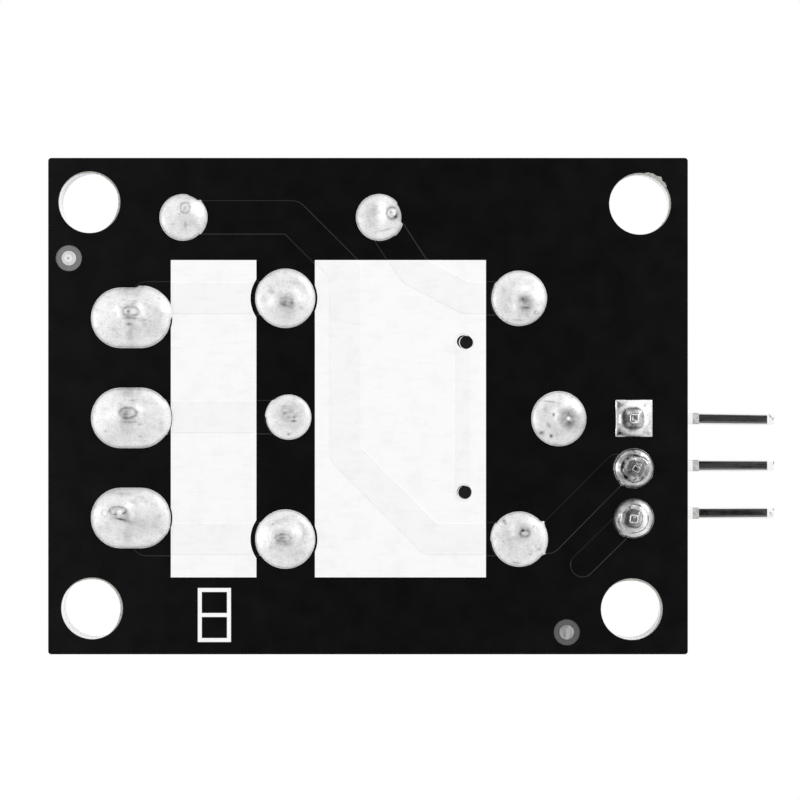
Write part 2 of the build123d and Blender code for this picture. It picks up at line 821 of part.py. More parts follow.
transistor_low = seat + transistor_lift
transistor = block(
    spread(transistor_x, transistor_length),
    spread(transistor_y, transistor_width),
    (transistor_low, transistor_low + transistor_height - transistor_lift),
)
top_edges = transistor.edges().group_by(Axis.Z)[-1]
transistor = chamfer(top_edges, transistor_chamfer)
parts["transistor_body"] = transistor
legs = []
half_pitch = transistor_leg_pitch / 2
for leg_x, side in ((-half_pitch, 1), (half_pitch, 1), (0, -1)):
    root = transistor_y + side * transistor_width / 2
    rise = transistor_low + (transistor_height - transistor_lift) / 2
    outer = root + side * transistor_leg_reach
    knee = root + side * transistor_leg_reach / 2
    width = spread(transistor_x + leg_x, transistor_leg_width)
    leg = block(width, sorted((root, knee)), (rise - transistor_leg_thickness, rise))
    knee_back = knee - side * transistor_leg_thickness
    leg += block(width, sorted((knee_back, knee)), (seat, rise))
    leg += block(width, sorted((knee_back, outer)), (seat, seat + transistor_leg_thickness))
    legs.append(leg)
parts["transistor_legs"] = together(legs)
parts["chip_solder"] = together(fillets)


# Solder joints
def joint(outline, lead_place, lead, dome):
    """A soldered joint: a swelling over the pad and the cone that climbs up the lead."""
    swelling = extrude(outline, -dome, taper=solder_slope if dome > solder_rim else 0)
    if lead is None:
        return swelling
    cone = Cone(solder_tip_radius + solder_tip_spread, solder_tip_radius, solder_tip_height - dome / 2)
    return swelling + Pos(*lead_place, -(solder_tip_height + dome / 2) / 2) * Rot(180, 0, 0) * cone - lead


for number, (centre, y) in enumerate(zip(terminal_pad_centres, terminal_ys), 1):
    key = f"terminal_{number}"
    parts[f"solder_{key}"] = joint(Pos(*centre) * oval_pad, (terminal_x, y), strips[key], solder_dome)
relay_leads = {
    "normally_open": open_post, "normally_closed": closed_post, "common": common_post, **coil_pins
}
for key, (centre, radius) in relay_pads.items():
    disc = Pos(*centre) * Circle(radius)
    parts[f"solder_{key}"] = joint(disc, relay_pins[key], relay_leads[key], solder_dome)
for number, x in enumerate(diode_xs, 1):
    key = f"diode_{number}"
    disc = Pos(x, diode_y) * Circle(diode_pad_radius)
    parts[f"solder_{key}"] = joint(disc, (x, diode_y), diode_leads[key], solder_dome)
for number, y in enumerate(header_ys, 1):
    key = f"header_{number}"
    square = Rectangle(header_square_pad, header_square_pad)
    pad = square if number == 1 else Circle(header_pad_radius)
    parts[f"solder_{key}"] = joint(Pos(header_x, y) * pad, (header_x, y), header_pins[key], solder_rim)
link_disc = Pos(*link_via_position) * Circle(link_pad_radius)
parts["solder_link"] = joint(link_disc, link_via_position, None, solder_dome)

# Legend on the component side: plain outlines round the parts
outlines = [
    (relay_left - legend_line, relay_right + legend_line, relay_front - legend_line,
     relay_rear + legend_line),
    (diode_ends[0], diode_ends[1], diode_y - diode_body_radius, diode_y + diode_body_radius),
]
for x, y in ((lamp_x, lamp_y), (lamp_resistor_x, lamp_y), (base_resistor_x, base_resistor_y)):
    half_length = chip_length / 2 + legend_margin
    half_width = chip_width / 2 + legend_margin / 2
    outlines.append((x - half_length, x + half_length, y - half_width, y + half_width))
relay_footprint = field((relay_left, relay_right, relay_front, relay_rear))
insulator_footprint = Pos(header_x, header_y) * Rectangle(header_pitch, header_ways * header_pitch)
top_lines = joined([outlined(limits, legend_line) for limits in outlines])
top_lines = top_lines - component_copper - relay_footprint - insulator_footprint
parts["component_side_legend"] = together(
    (Pos(0, 0, board_top) * extrude(top_lines, legend_thickness)).solids()
)

for name, shape in parts.items():
    export_step(shape, f"parts/{name}.step")
    print(name, len(shape.solids()), round(shape.volume, 3), shape.is_valid)
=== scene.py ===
import json
from math import copysign, cos, degrees, exp, hypot, pi, radians, remainder, sin, sqrt, tan

import bmesh
import bpy
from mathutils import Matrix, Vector, noise


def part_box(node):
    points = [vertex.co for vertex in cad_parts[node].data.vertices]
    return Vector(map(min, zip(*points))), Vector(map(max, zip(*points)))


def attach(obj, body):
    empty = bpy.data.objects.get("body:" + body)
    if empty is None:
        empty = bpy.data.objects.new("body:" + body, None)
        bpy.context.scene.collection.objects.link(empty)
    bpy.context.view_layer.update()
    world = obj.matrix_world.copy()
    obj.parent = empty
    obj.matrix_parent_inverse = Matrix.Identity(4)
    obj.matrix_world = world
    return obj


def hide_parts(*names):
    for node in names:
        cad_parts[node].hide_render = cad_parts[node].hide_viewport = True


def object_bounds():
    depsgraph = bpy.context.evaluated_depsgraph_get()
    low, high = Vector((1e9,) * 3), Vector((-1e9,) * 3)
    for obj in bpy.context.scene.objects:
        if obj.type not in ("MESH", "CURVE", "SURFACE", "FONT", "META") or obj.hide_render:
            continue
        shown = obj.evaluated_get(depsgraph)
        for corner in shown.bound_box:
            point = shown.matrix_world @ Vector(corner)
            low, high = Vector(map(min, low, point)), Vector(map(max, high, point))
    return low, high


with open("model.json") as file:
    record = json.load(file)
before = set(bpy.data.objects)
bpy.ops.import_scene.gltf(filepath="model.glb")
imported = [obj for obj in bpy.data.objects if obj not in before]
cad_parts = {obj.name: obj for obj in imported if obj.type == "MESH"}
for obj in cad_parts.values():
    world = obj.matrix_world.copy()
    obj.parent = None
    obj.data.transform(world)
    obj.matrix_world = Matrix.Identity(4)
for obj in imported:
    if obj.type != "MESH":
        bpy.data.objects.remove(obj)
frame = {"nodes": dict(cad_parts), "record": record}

mm = 0.001
cadLow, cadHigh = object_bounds()
print("frame loaded:", len(frame["nodes"]), "nodes")


# Places that the pieces share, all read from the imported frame
def spanOf(node):
    low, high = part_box(node)
    return Vector(low), Vector(high)


def middleOf(node):
    low, high = spanOf(node)
    return (low + high) / 2


# Middle of the lowest slice of a lead, where it comes through the board
def lowEnd(node):
    points = [v.co for v in frame["nodes"][node].data.vertices]
    lowest = min(p.z for p in points)
    near = [p for p in points if p.z < lowest + 0.02 * mm]
    xs = [p.x for p in near]
    ys = [p.y for p in near]
    return Vector(((min(xs) + max(xs)) / 2, (min(ys) + max(ys)) / 2, lowest))


boardLow, boardHigh = spanOf("circuit_board")
headerX = middleOf("header_insulator").x


# An object with its data, put in the scene
def placed(name, data):
    item = bpy.data.objects.new(name, data)
    bpy.context.scene.collection.objects.link(item)
    return item


# A socket's value: another node's output is linked, anything else is set
def give(tree, socket, value):
    if isinstance(value, bpy.types.NodeSocket):
        tree.links.new(value, socket)
    else:
        socket.default_value = (*value, 1) if socket.type == "RGBA" else value


# A node with its settings, its inputs in order and its inputs by name
def addNode(tree, kind, settings=None, *values, **named):
    node = tree.nodes.new(kind)
    for key, value in (settings or {}).items():
        setattr(node, key, value)
    for socket, value in zip(node.inputs, values):
        give(tree, socket, value)
    for key, value in named.items():
        give(tree, node.inputs[key.replace("_", " ")], value)
    return node


# Materials: each one is a small tree of noise, ramps and bump on Object coordinates
class Finish:
    def __init__(self, name):
        self.material = bpy.data.materials.new(name)
        self.material.use_nodes = True
        self.tree = self.material.node_tree
        self.shader = self.tree.nodes["Principled BSDF"]
        self.coords = self.tree.nodes.new("ShaderNodeTexCoord")

    def set(self, **values):
        for key, value in values.items():
            give(self.tree, self.shader.inputs[key.replace("_", " ")], value)

    def noise(self, perMm, detail=3, roughness=0.5, stretch=None):
        place = self.coords.outputs["Object"]
        if stretch:
            place = addNode(self.tree, "ShaderNodeMapping", Vector=place, Scale=stretch).outputs["Vector"]
        node = addNode(self.tree, "ShaderNodeTexNoise", Vector=place, Scale=perMm / mm,
                       Detail=detail, Roughness=roughness)
        return node.outputs["Fac"]

    def ramp(self, value, stops):
        node = addNode(self.tree, "ShaderNodeValToRGB", Fac=value)
        elements = node.color_ramp.elements
        while len(elements) < len(stops):
            elements.new(0.5)
        for element, (place, colour) in zip(elements, stops):
            element.position = place
            element.color = (*colour, 1) if isinstance(colour, tuple) else (colour, colour, colour, 1)
        return node.outputs["Color"]

    def maths(self, operation, *values):
        return addNode(self.tree, "ShaderNodeMath", {"operation": operation}, *values).outputs["Value"]

    def mix(self, factor, first, second, blend="MIX"):
        node = addNode(self.tree, "ShaderNodeMix", {"data_type": "RGBA", "blend_type": blend}, factor)
        for socket, value in zip([s for s in node.inputs if s.type == "RGBA"], (first, second)):
            give(self.tree, socket, value)
        return next(s for s in node.outputs if s.type == "RGBA")

    def bump(self, value, strength, depthMm):
        node = addNode(self.tree, "ShaderNodeBump", Height=value, Strength=strength, Distance=depthMm * mm)
        self.set(Normal=node.outputs["Normal"])

    def axis(self, output, letter):
        place = self.coords.outputs[output]
        return addNode(self.tree, "ShaderNodeSeparateXYZ", Vector=place).outputs[letter]

    # The square of the distance from an upright line through a mark
    def squaredFrom(self, mark):
        offs = [self.maths("SUBTRACT", self.axis("Object", "XY"[k]), mark[k]) for k in (0, 1)]
        return self.maths("ADD", *[self.maths("POWER", off, 2.0) for off in offs])

    def attribute(self, name):
        return addNode(self.tree, "ShaderNodeAttribute", {"attribute_name": name}).outputs["Fac"]


# Moulded plastic: nearly even colour, fine grain, slight sheen changes
def mouldedPlastic(name, colour, roughness=0.42, grain=6, depth=0.01, clear=0.4):
    finish = Finish(name)
    lighter = tuple(min(1, c * 1.04 + 0.002) for c in colour)
    darker = tuple(c * 0.96 for c in colour)
    tone = finish.ramp(finish.noise(0.7, 4), [(0.3, darker), (0.7, lighter)])
    sheen = finish.ramp(finish.noise(1.5), [(0.3, roughness - 0.02), (0.7, roughness + 0.02)])
    finish.bump(finish.noise(grain, 5, 0.6), 0.35, depth)
    finish.set(Base_Color=tone, Roughness=sheen, Specular_IOR_Level=clear)
    return finish.material


# Plated or rolled metal with faint drawing lines along one axis
def platedMetal(name, colour, roughness=0.25, stretch=(1, 6, 6), depth=0.004, metallic=1.0, vary=0.08):
    finish = Finish(name)
    lighter = tuple(min(1, c * 1.03) for c in colour)
    darker = tuple(c * 0.93 for c in colour)
    tone = finish.ramp(finish.noise(1.6, 5, 0.6, stretch), [(0.3, darker), (0.65, lighter)])
    sheen = finish.ramp(finish.noise(2.2, 4), [(0.3, roughness - vary), (0.75, roughness + vary)])
    finish.bump(finish.noise(5, 4, 0.6, stretch), 0.3, depth)
    finish.set(Base_Color=tone, Roughness=sheen, Metallic=metallic)
    return finish.material


# Black mask over glass laminate: faces that look up or down are masked, walls are bare
boardLook = {
    "mask": 0.0035,
    # strength and lean of the painted highlight on sloping track edges
    "edgeHighlight": 0.042,
    "highlightLean": (0.5, 0.4),
    "slopeLimit": 0.93,
    "laminate": (0.89, 0.86, 0.76),
    # hole walls: painted whiter, painted light for light bouncing into the holes
    "drilled": (0.98, 0.97, 0.94),
    "edgeBand": 0.3,
    "laminateRim": (0.5, 0.48, 0.43),
    "rimDepth": 0.1,
    "rings": (0.22, 0.125),
    "ringRadius": 0.6534,
    "ringDepth": 0.3,
    "wallLimit": 0.35,
}


def boardFinish():
    finish = Finish("boardMask")
    height = finish.axis("Object", "Z")
    upright = finish.maths("ABSOLUTE", finish.axis("Normal", "Z"))
    tone = boardLook["mask"]
    mask = finish.ramp(finish.noise(0.35, 5), [(0.3, tone * 0.9), (0.7, tone * 1.15)])
    # painted highlight on a track's sloping edges, standing in for light from below, most on the sides that
    # face the header's lower end
    lightLeans = [finish.maths("MULTIPLY", finish.axis("Normal", letter), share)
             for letter, share in zip("XY", boardLook["highlightLean"])]
    lean = finish.maths("ADD", finish.maths("ADD", *lightLeans), 0.5)
    tone = boardLook["edgeHighlight"]
    paintedEdgeLight = finish.ramp(lean, [(0.05, 0.0), (0.19, tone * 0.28), (0.8, tone * 0.68), (0.97, tone)])
    mask = finish.mix(finish.maths("LESS_THAN", upright, boardLook["slopeLimit"]), mask, paintedEdgeLight)
    # bare laminate on the walls, browner close under the mask; the walls of the holes are painted whiter,
    # painted light for the light that bounces into them
    laminate = boardLook["laminate"]
    fibre = finish.noise(9, 3, 0.6, (1, 1, 5))
    core = finish.ramp(fibre, [(0.3, tuple(c * 0.93 for c in laminate)), (0.7, laminate)])
    middle, half = (boardLow + boardHigh) / 2, (boardHigh - boardLow) / 2
    within = []
    for k in (0, 1):
        off = finish.maths("ABSOLUTE", finish.maths("SUBTRACT", finish.axis("Object", "XY"[k]), middle[k]))
        within.append(finish.maths("LESS_THAN", off, half[k] - boardLook["edgeBand"] * mm))
    core = finish.mix(finish.maths("MULTIPLY", *within), core, boardLook["drilled"])
    nearMask = finish.maths("LESS_THAN", height, boardLook["rimDepth"] * mm)
    wall = finish.mix(nearMask, core, boardLook["laminateRim"])
    colour = finish.mix(finish.maths("LESS_THAN", upright, boardLook["wallLimit"]), mask, wall)
    # greyer rounds under the fiducial marks, on the solder side only
    lowSide = finish.maths("LESS_THAN", height, boardLook["ringDepth"] * mm)
    for mark, tone in zip(fiducialMarks, boardLook["rings"]):
        grain = finish.ramp(finish.noise(8, 3), [(0.3, tone * 0.85), (0.7, tone)])
        reach = (boardLook["ringRadius"] * mm) ** 2
        inRing = finish.maths("LESS_THAN", finish.squaredFrom(mark), reach)
        colour = finish.mix(finish.maths("MULTIPLY", inRing, lowSide), colour, grain)
    sheen = finish.ramp(finish.noise(0.8, 4), [(0.3, 0.24), (0.7, 0.33)])
    finish.bump(finish.noise(4, 4, 0.55), 0.12, 0.01)
    finish.set(Base_Color=colour, Roughness=sheen, Specular_IOR_Level=0.17)
    return finish.material


dotPoints = [v.co for v in frame["nodes"]["fiducial_dots"].data.vertices]
fiducialMarks = []
for side in (-1, 1):
    group = [p for p in dotPoints if p.x * side > 0]
    fiducialMarks.append(sum(group, Vector()) / len(group))


# Printed legend: matt white, a shade greyer where it runs over a track
legendLook = {"raisedFrom": -0.062, "raisedTone": 0.968}


def legendFinish():
    finish = Finish("legendInk")
    base = finish.ramp(finish.noise(0.9, 6, 0.62), [(0.36, 0.95), (0.5, 0.985), (0.7, 0.99)])
    pits = finish.ramp(finish.noise(1.6, 6, 0.7, (0.5, 2.2, 1)), [(0.3, 0.95), (0.42, 0.985), (0.5, 1.0)])
    colour = finish.mix(1.0, base, pits, "MULTIPLY")
    raised = finish.maths("LESS_THAN", finish.axis("Object", "Z"), legendLook["raisedFrom"] * mm)
    greyer = finish.mix(1.0, colour, (legendLook["raisedTone"],) * 3, "MULTIPLY")
    colour = finish.mix(raised, colour, greyer)
    finish.bump(finish.noise(3, 4, 0.6), 0.15, 0.02)
    finish.set(Base_Color=colour, Roughness=0.62, Specular_IOR_Level=0.25)
    return finish.material


# Solder: bright satin tin with grey flecks, shaded by the joint's own marks, which hold real grey spots and
# streaks and also painted highlights and painted shade
solderLook = {
    "dull": {"light": 0.95, "shade": 0.6, "fleck": 0.72, "metal": 0.3, "rough": 0.46, "bump": 0.03},
    "bright": {"light": 0.68, "shade": 0.34, "fleck": 0.4, "metal": 0.9, "rough": 0.24, "bump": 0.02},
}


def solderFinish(kind):
    look = solderLook[kind]
    finish = Finish(kind + "Solder")
    light, rough = look["light"], look["rough"]
    clouds = finish.noise(2.2, 8, 0.74)
    clouds = finish.ramp(clouds, [(0.28, look["shade"]), (0.46, light * 0.93), (0.64, light)])
    flecks = finish.noise(10, 4, 0.7, (1, 1.4, 1))
    grains = finish.ramp(flecks, [(0.3, look["fleck"]), (0.45, 0.94), (0.62, 1.03)])
    colour = finish.mix(1.0, clouds, grains, "MULTIPLY")
    # the joint's marks: its own grey spots and streaks, and painted highlights and painted shade
    marked = finish.maths("MULTIPLY_ADD", finish.attribute("shade"), 0.5, 0.5)
    marks = finish.ramp(marked, [(0, 0.0), (1, 2.0)])
    colour = finish.mix(1.0, colour, marks, "MULTIPLY")
    sheen = finish.ramp(finish.noise(2.5, 4), [(0.3, rough - 0.08), (0.7, rough + 0.12)])
    finish.bump(finish.noise(4.5, 5, 0.65), 0.4, look["bump"])
    finish.set(Base_Color=colour, Roughness=sheen, Metallic=look["metal"])
    return finish.material


# The two fiducial dots: a bright one with a dark middle, and a duller scratched one
dotLook = {
    "bright": 0.95,
    "edge": 0.8,
    "middle": 0.2,
    "dull": 0.36,
    "pit": 0.4,
    "pitRadius": 0.055,
    "shift": -0.04,
}


def dotFinish():
    finish = Finish("fiducialTin")
    scratches = finish.noise(5, 3, 0.6, (1, 0.2, 1))
    bright = finish.ramp(scratches, [(0.3, dotLook["bright"] * 0.8), (0.5, dotLook["bright"])])
    dull = finish.ramp(scratches, [(0.38, dotLook["dull"] * 0.7), (0.62, dotLook["dull"] * 1.4)])
    away = finish.squaredFrom(fiducialMarks[0] + Vector((dotLook["shift"], 0, 0)) * mm)
    pit = finish.maths("LESS_THAN", away, (dotLook["pitRadius"] * mm) ** 2)
    outer = finish.maths("GREATER_THAN", away, (dotLook["middle"] * mm) ** 2)
    bright = finish.mix(outer, bright, finish.mix(1.0, bright, (dotLook["edge"],) * 3, "MULTIPLY"))
    onRight = finish.maths("GREATER_THAN", finish.axis("Object", "X"), 0.0)
    colour = finish.mix(onRight, bright, dull)
    colour = finish.mix(pit, colour, (dotLook["pit"],) * 3)
    finish.bump(scratches, 0.4, 0.02)
    finish.set(Base_Color=colour, Metallic=0.3, Roughness=0.42)
    return finish.material


boardMaterial = boardFinish()
legendMaterial = legendFinish()
dullSolder = solderFinish("dull")
brightSolder = solderFinish("bright")
leadMaterial = platedMetal("tinnedLead", (0.80, 0.80, 0.79), 0.2, (8, 8, 0.5), 0.002, vary=0.03)
stripMaterial = platedMetal("tinnedStrip", (0.74, 0.73, 0.71), 0.28, (5, 5, 1), 0.002, vary=0.05)
zincMaterial = platedMetal("zincPlating", (0.72, 0.72, 0.70), 0.3, (1, 1, 4), 0.002, vary=0.04)
nickelMaterial = platedMetal("nickelPlating", (0.68, 0.66, 0.62), 0.3, (1, 4, 1), 0.002, vary=0.04)
ironMaterial = platedMetal("platedIron", (0.55, 0.55, 0.56), 0.35)
bronzeMaterial = platedMetal("springBronze", (0.74, 0.50, 0.26), 0.28)
terminalBlue = mouldedPlastic("terminalBlue", (0.018, 0.14, 0.42), 0.36)
relayBlue = mouldedPlastic("relayBlue", (0.012, 0.075, 0.36), 0.34, 9, 0.006, 0.5)
baseBlack = mouldedPlastic("baseBlack", (0.02, 0.02, 0.022))
headerBlack = mouldedPlastic("headerBlack", (0.013, 0.013, 0.014), 0.4, 8)
epoxyBlack = mouldedPlastic("epoxyBlack", (0.016, 0.016, 0.017), 0.3, 5, 0.006)
nylonMaterial = mouldedPlastic("bobbinNylon", (0.72, 0.69, 0.60), 0.45)
bandMaterial = mouldedPlastic("cathodeBand", (0.62, 0.62, 0.61), 0.45)
lensMaterial = mouldedPlastic("lampLens", (0.83, 0.78, 0.66), 0.18, 3, 0.003)
ceramicMaterial = mouldedPlastic("chipGlaze", (0.03, 0.03, 0.034), 0.22, 5, 0.004, 0.5)


# Enamelled wire, laid in even turns round the coil
def windingFinish():
    finish = Finish("enamelledWire")
    place = finish.coords.outputs["Object"]
    wave = addNode(finish.tree, "ShaderNodeTexWave", {"bands_direction": "Z"}, Vector=place, Scale=1.6 / mm)
    turns = finish.ramp(wave.outputs["Fac"], [(0.1, (0.16, 0.04, 0.012)), (0.8, (0.50, 0.16, 0.045))])
    finish.bump(wave.outputs["Fac"], 0.7, 0.08)
    finish.set(Base_Color=turns, Metallic=0.5, Roughness=0.3)
    return finish.material


wireMaterial = windingFinish()
print("materials made:", len(bpy.data.materials))


# A CAD node keeps its shape and takes a finished material
def dress(node, material):
    mesh = frame["nodes"][node].data
    if not mesh.materials:
        mesh.materials.append(material)
    for index in range(len(mesh.materials)):
        mesh.materials[index] = material


dress("circuit_board", boardMaterial)
dress("solder_side_legend", legendMaterial)
dress("component_side_legend", legendMaterial)
dress("fiducial_dots", dotFinish())
dress("relay_winding", wireMaterial)
for node in ("relay_yoke", "relay_core", "relay_armature"):
    dress(node, ironMaterial)
for node in ("contact_blade", "hinge_spring"):
    dress(node, bronzeMaterial)
dress("relay_base", baseBlack)
dress("relay_bobbin", nylonMaterial)


# A closed shape, its faces turned outwards, as a mesh
def meshFrom(shape, name):
    bmesh.ops.recalc_face_normals(shape, faces=shape.faces)
    mesh = bpy.data.meshes.new(name)
    shape.to_mesh(mesh)
    shape.free()
    return mesh


# Quads between neighbouring closed rows of points
def skin(shape, rows):
    for here, there in zip(rows, rows[1:]):
        for k in range(len(here)):
            j = (k + 1) % len(here)
            shape.faces.new((here[k], here[j], there[j], there[k]))


# Triangles from a closed row of points to one point
def fan(shape, row, point):
    for k, vert in enumerate(row):
        shape.faces.new((vert, row[(k + 1) % len(row)], point))


# One finished piece: it rides on a body and stands for some nodes, which it hides
def settle(piece, body, slotName, *nodes):
    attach(piece, body)
    if nodes:
        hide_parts(*nodes)
    return piece


def pieceFrom(name, mesh, material, smoothAngle=40):
    piece = placed(name, mesh)
    mesh.materials.clear()
    mesh.materials.append(material)
    mesh.shade_smooth()
    mesh.set_sharp_from_angle(angle=radians(smoothAngle))
    return piece


# The mesh that a piece's modifiers make, which are then taken off
def evaluated(piece):
    finished = bpy.data.meshes.new_from_object(piece.evaluated_get(bpy.context.evaluated_depsgraph_get()))
    piece.modifiers.clear()
    return finished


def camel(node):
    words = node.split("_")
    return words[0] + "".join(w.title() for w in words[1:])


# A merged copy of a CAD node with its sharp edges rolled over
def softCopy(node, material, roll, slotName, segments=2, body="board", limit=30, endAt=None, name=None):
    mesh = frame["nodes"][node].data.copy()
    shape = bmesh.new()
    shape.from_mesh(mesh)
    for vert in shape.verts:
        if endAt is not None and vert.co.z < endAt * mm:
            vert.co.z = endAt * mm
    bmesh.ops.remove_doubles(shape, verts=shape.verts, dist=0.0005 * mm)
    bmesh.ops.dissolve_limit(shape, angle_limit=radians(1), verts=shape.verts, edges=shape.edges)
    shape.to_mesh(mesh)
    shape.free()
    if "custom_normal" in mesh.attributes:
        mesh.attributes.remove(mesh.attributes["custom_normal"])
    piece = pieceFrom(name or camel(node), mesh, material)
    bevel = piece.modifiers.new("roll", "BEVEL")
    bevel.width = roll * mm
    bevel.segments = segments
    bevel.limit_method = "ANGLE"
    bevel.angle_limit = radians(limit)
    bevel.use_clamp_overlap = True
    bevel.harden_normals = True
    piece.data = evaluated(piece)
    return settle(piece, body, slotName, node)


# Leads stop inside their solder joints
leadEnd = -0.25

softCopy("terminal_housing", terminalBlue, 0.1, "terminal_plastic", 3)
softCopy("relay_cover", relayBlue, 0.12, "relay_plastic", 3, limit=50)
softCopy("header_insulator", headerBlack, 0.06, "black_plastic")
softCopy("transistor_body", epoxyBlack, 0.05, "epoxy_black", limit=20)
softCopy("transistor_legs", stripMaterial, 0.04, "tinned_brass")
softCopy("lamp", lensMaterial, 0.08, "lamp_lens", 3, name="lampLens")
for node in ("lamp_resistor", "base_resistor"):
    softCopy(node, ceramicMaterial, 0.04, "chip_ceramic")
for node in ("lamp_ends", "lamp_resistor_ends", "base_resistor_ends"):
    softCopy(node, dullSolder, 0.04, "solder")
softCopy("chip_solder", dullSolder, 0.03, "solder", name="chipFillets")
for number in (1, 2, 3):
    softCopy(f"clamp_screw_{number}", zincMaterial, 0.06, "plated_steel", body=f"screw_{number}")
    softCopy(f"rising_clamp_{number}", nickelMaterial, 0.06, "plated_clamp", body=f"clamp_{number}")
    softCopy(f"contact_strip_{number}", stripMaterial, 0.05, "tinned_brass", endAt=leadEnd)
for node in ("normally_open_contact", "normally_closed_contact", "common_pin"):
    softCopy(node, bronzeMaterial, 0.03, "spring_bronze", endAt=leadEnd)
for node in ("coil_pin_1", "coil_pin_2", "diode_lead_1", "diode_lead_2"):
    softCopy(node, leadMaterial, 0.05, "tinned_brass", endAt=leadEnd)
print("moulded and plated pieces made")

# Solder joints on the solder side. moundLook holds what they share, and a joint's own values in
# pads take its place. "steps" are stretches of outline that stand further out: from one angle to
# another, in degrees, by so many mm. "core" is the lead's end: half sizes, turn and place off the
# lead. The marks lighten or darken the metal: some are the joint's own grey spots, rings and
# streaks, others are painted highlights and painted shade where light falls on the dome. Each gives
# place off the core, half sizes, amount, turn and width, where no turn is 0 and a mark without a
# width is a spot instead of a ring.
moundLook = {
    "kind": "round",
    "gain": 1,
    "bright": False,
    "dome": 0.3,
    "shoulder": 0.6,
    "top": 1,
    "highest": 1.24,
    "inset": 0.03,
    "spread": 0.26,
    "coneFall": 1.1,
    "ripple": 0,
    "rippleRate": 26,
    "steps": [],
    "stepSoftness": 0.8,
    "turns": 120,
    "coreRings": 20,
    "coreStep": 0.036,
    "middleRings": 12,
    "rimRings": (0.018, 0.036, 0.055, 0.08, 0.12, 0.19, 0.28),
    "lip": 0.022,
    "lipWidth": 0.018,
    "rimPull": 8,
    "edgeDrop": 0.07,
    "edgeOut": 0.02,
    "edgeSoftness": 0.012,
    "waviness": 0.028,
    "waves": (1.7, 1.6),  # noise per mm, share of the waviness
    "fineWaves": (5.5, 0.6),
    "rimLine": -0.07,
    "rimLineAt": 0.07,
    "rimLineWidth": 0.025,
    "markStrength": 1.6,
    "markReach": 3,
    "markNoise": (5, 9, 0.7),  # noise per mm, shift from mark to mark, share
}
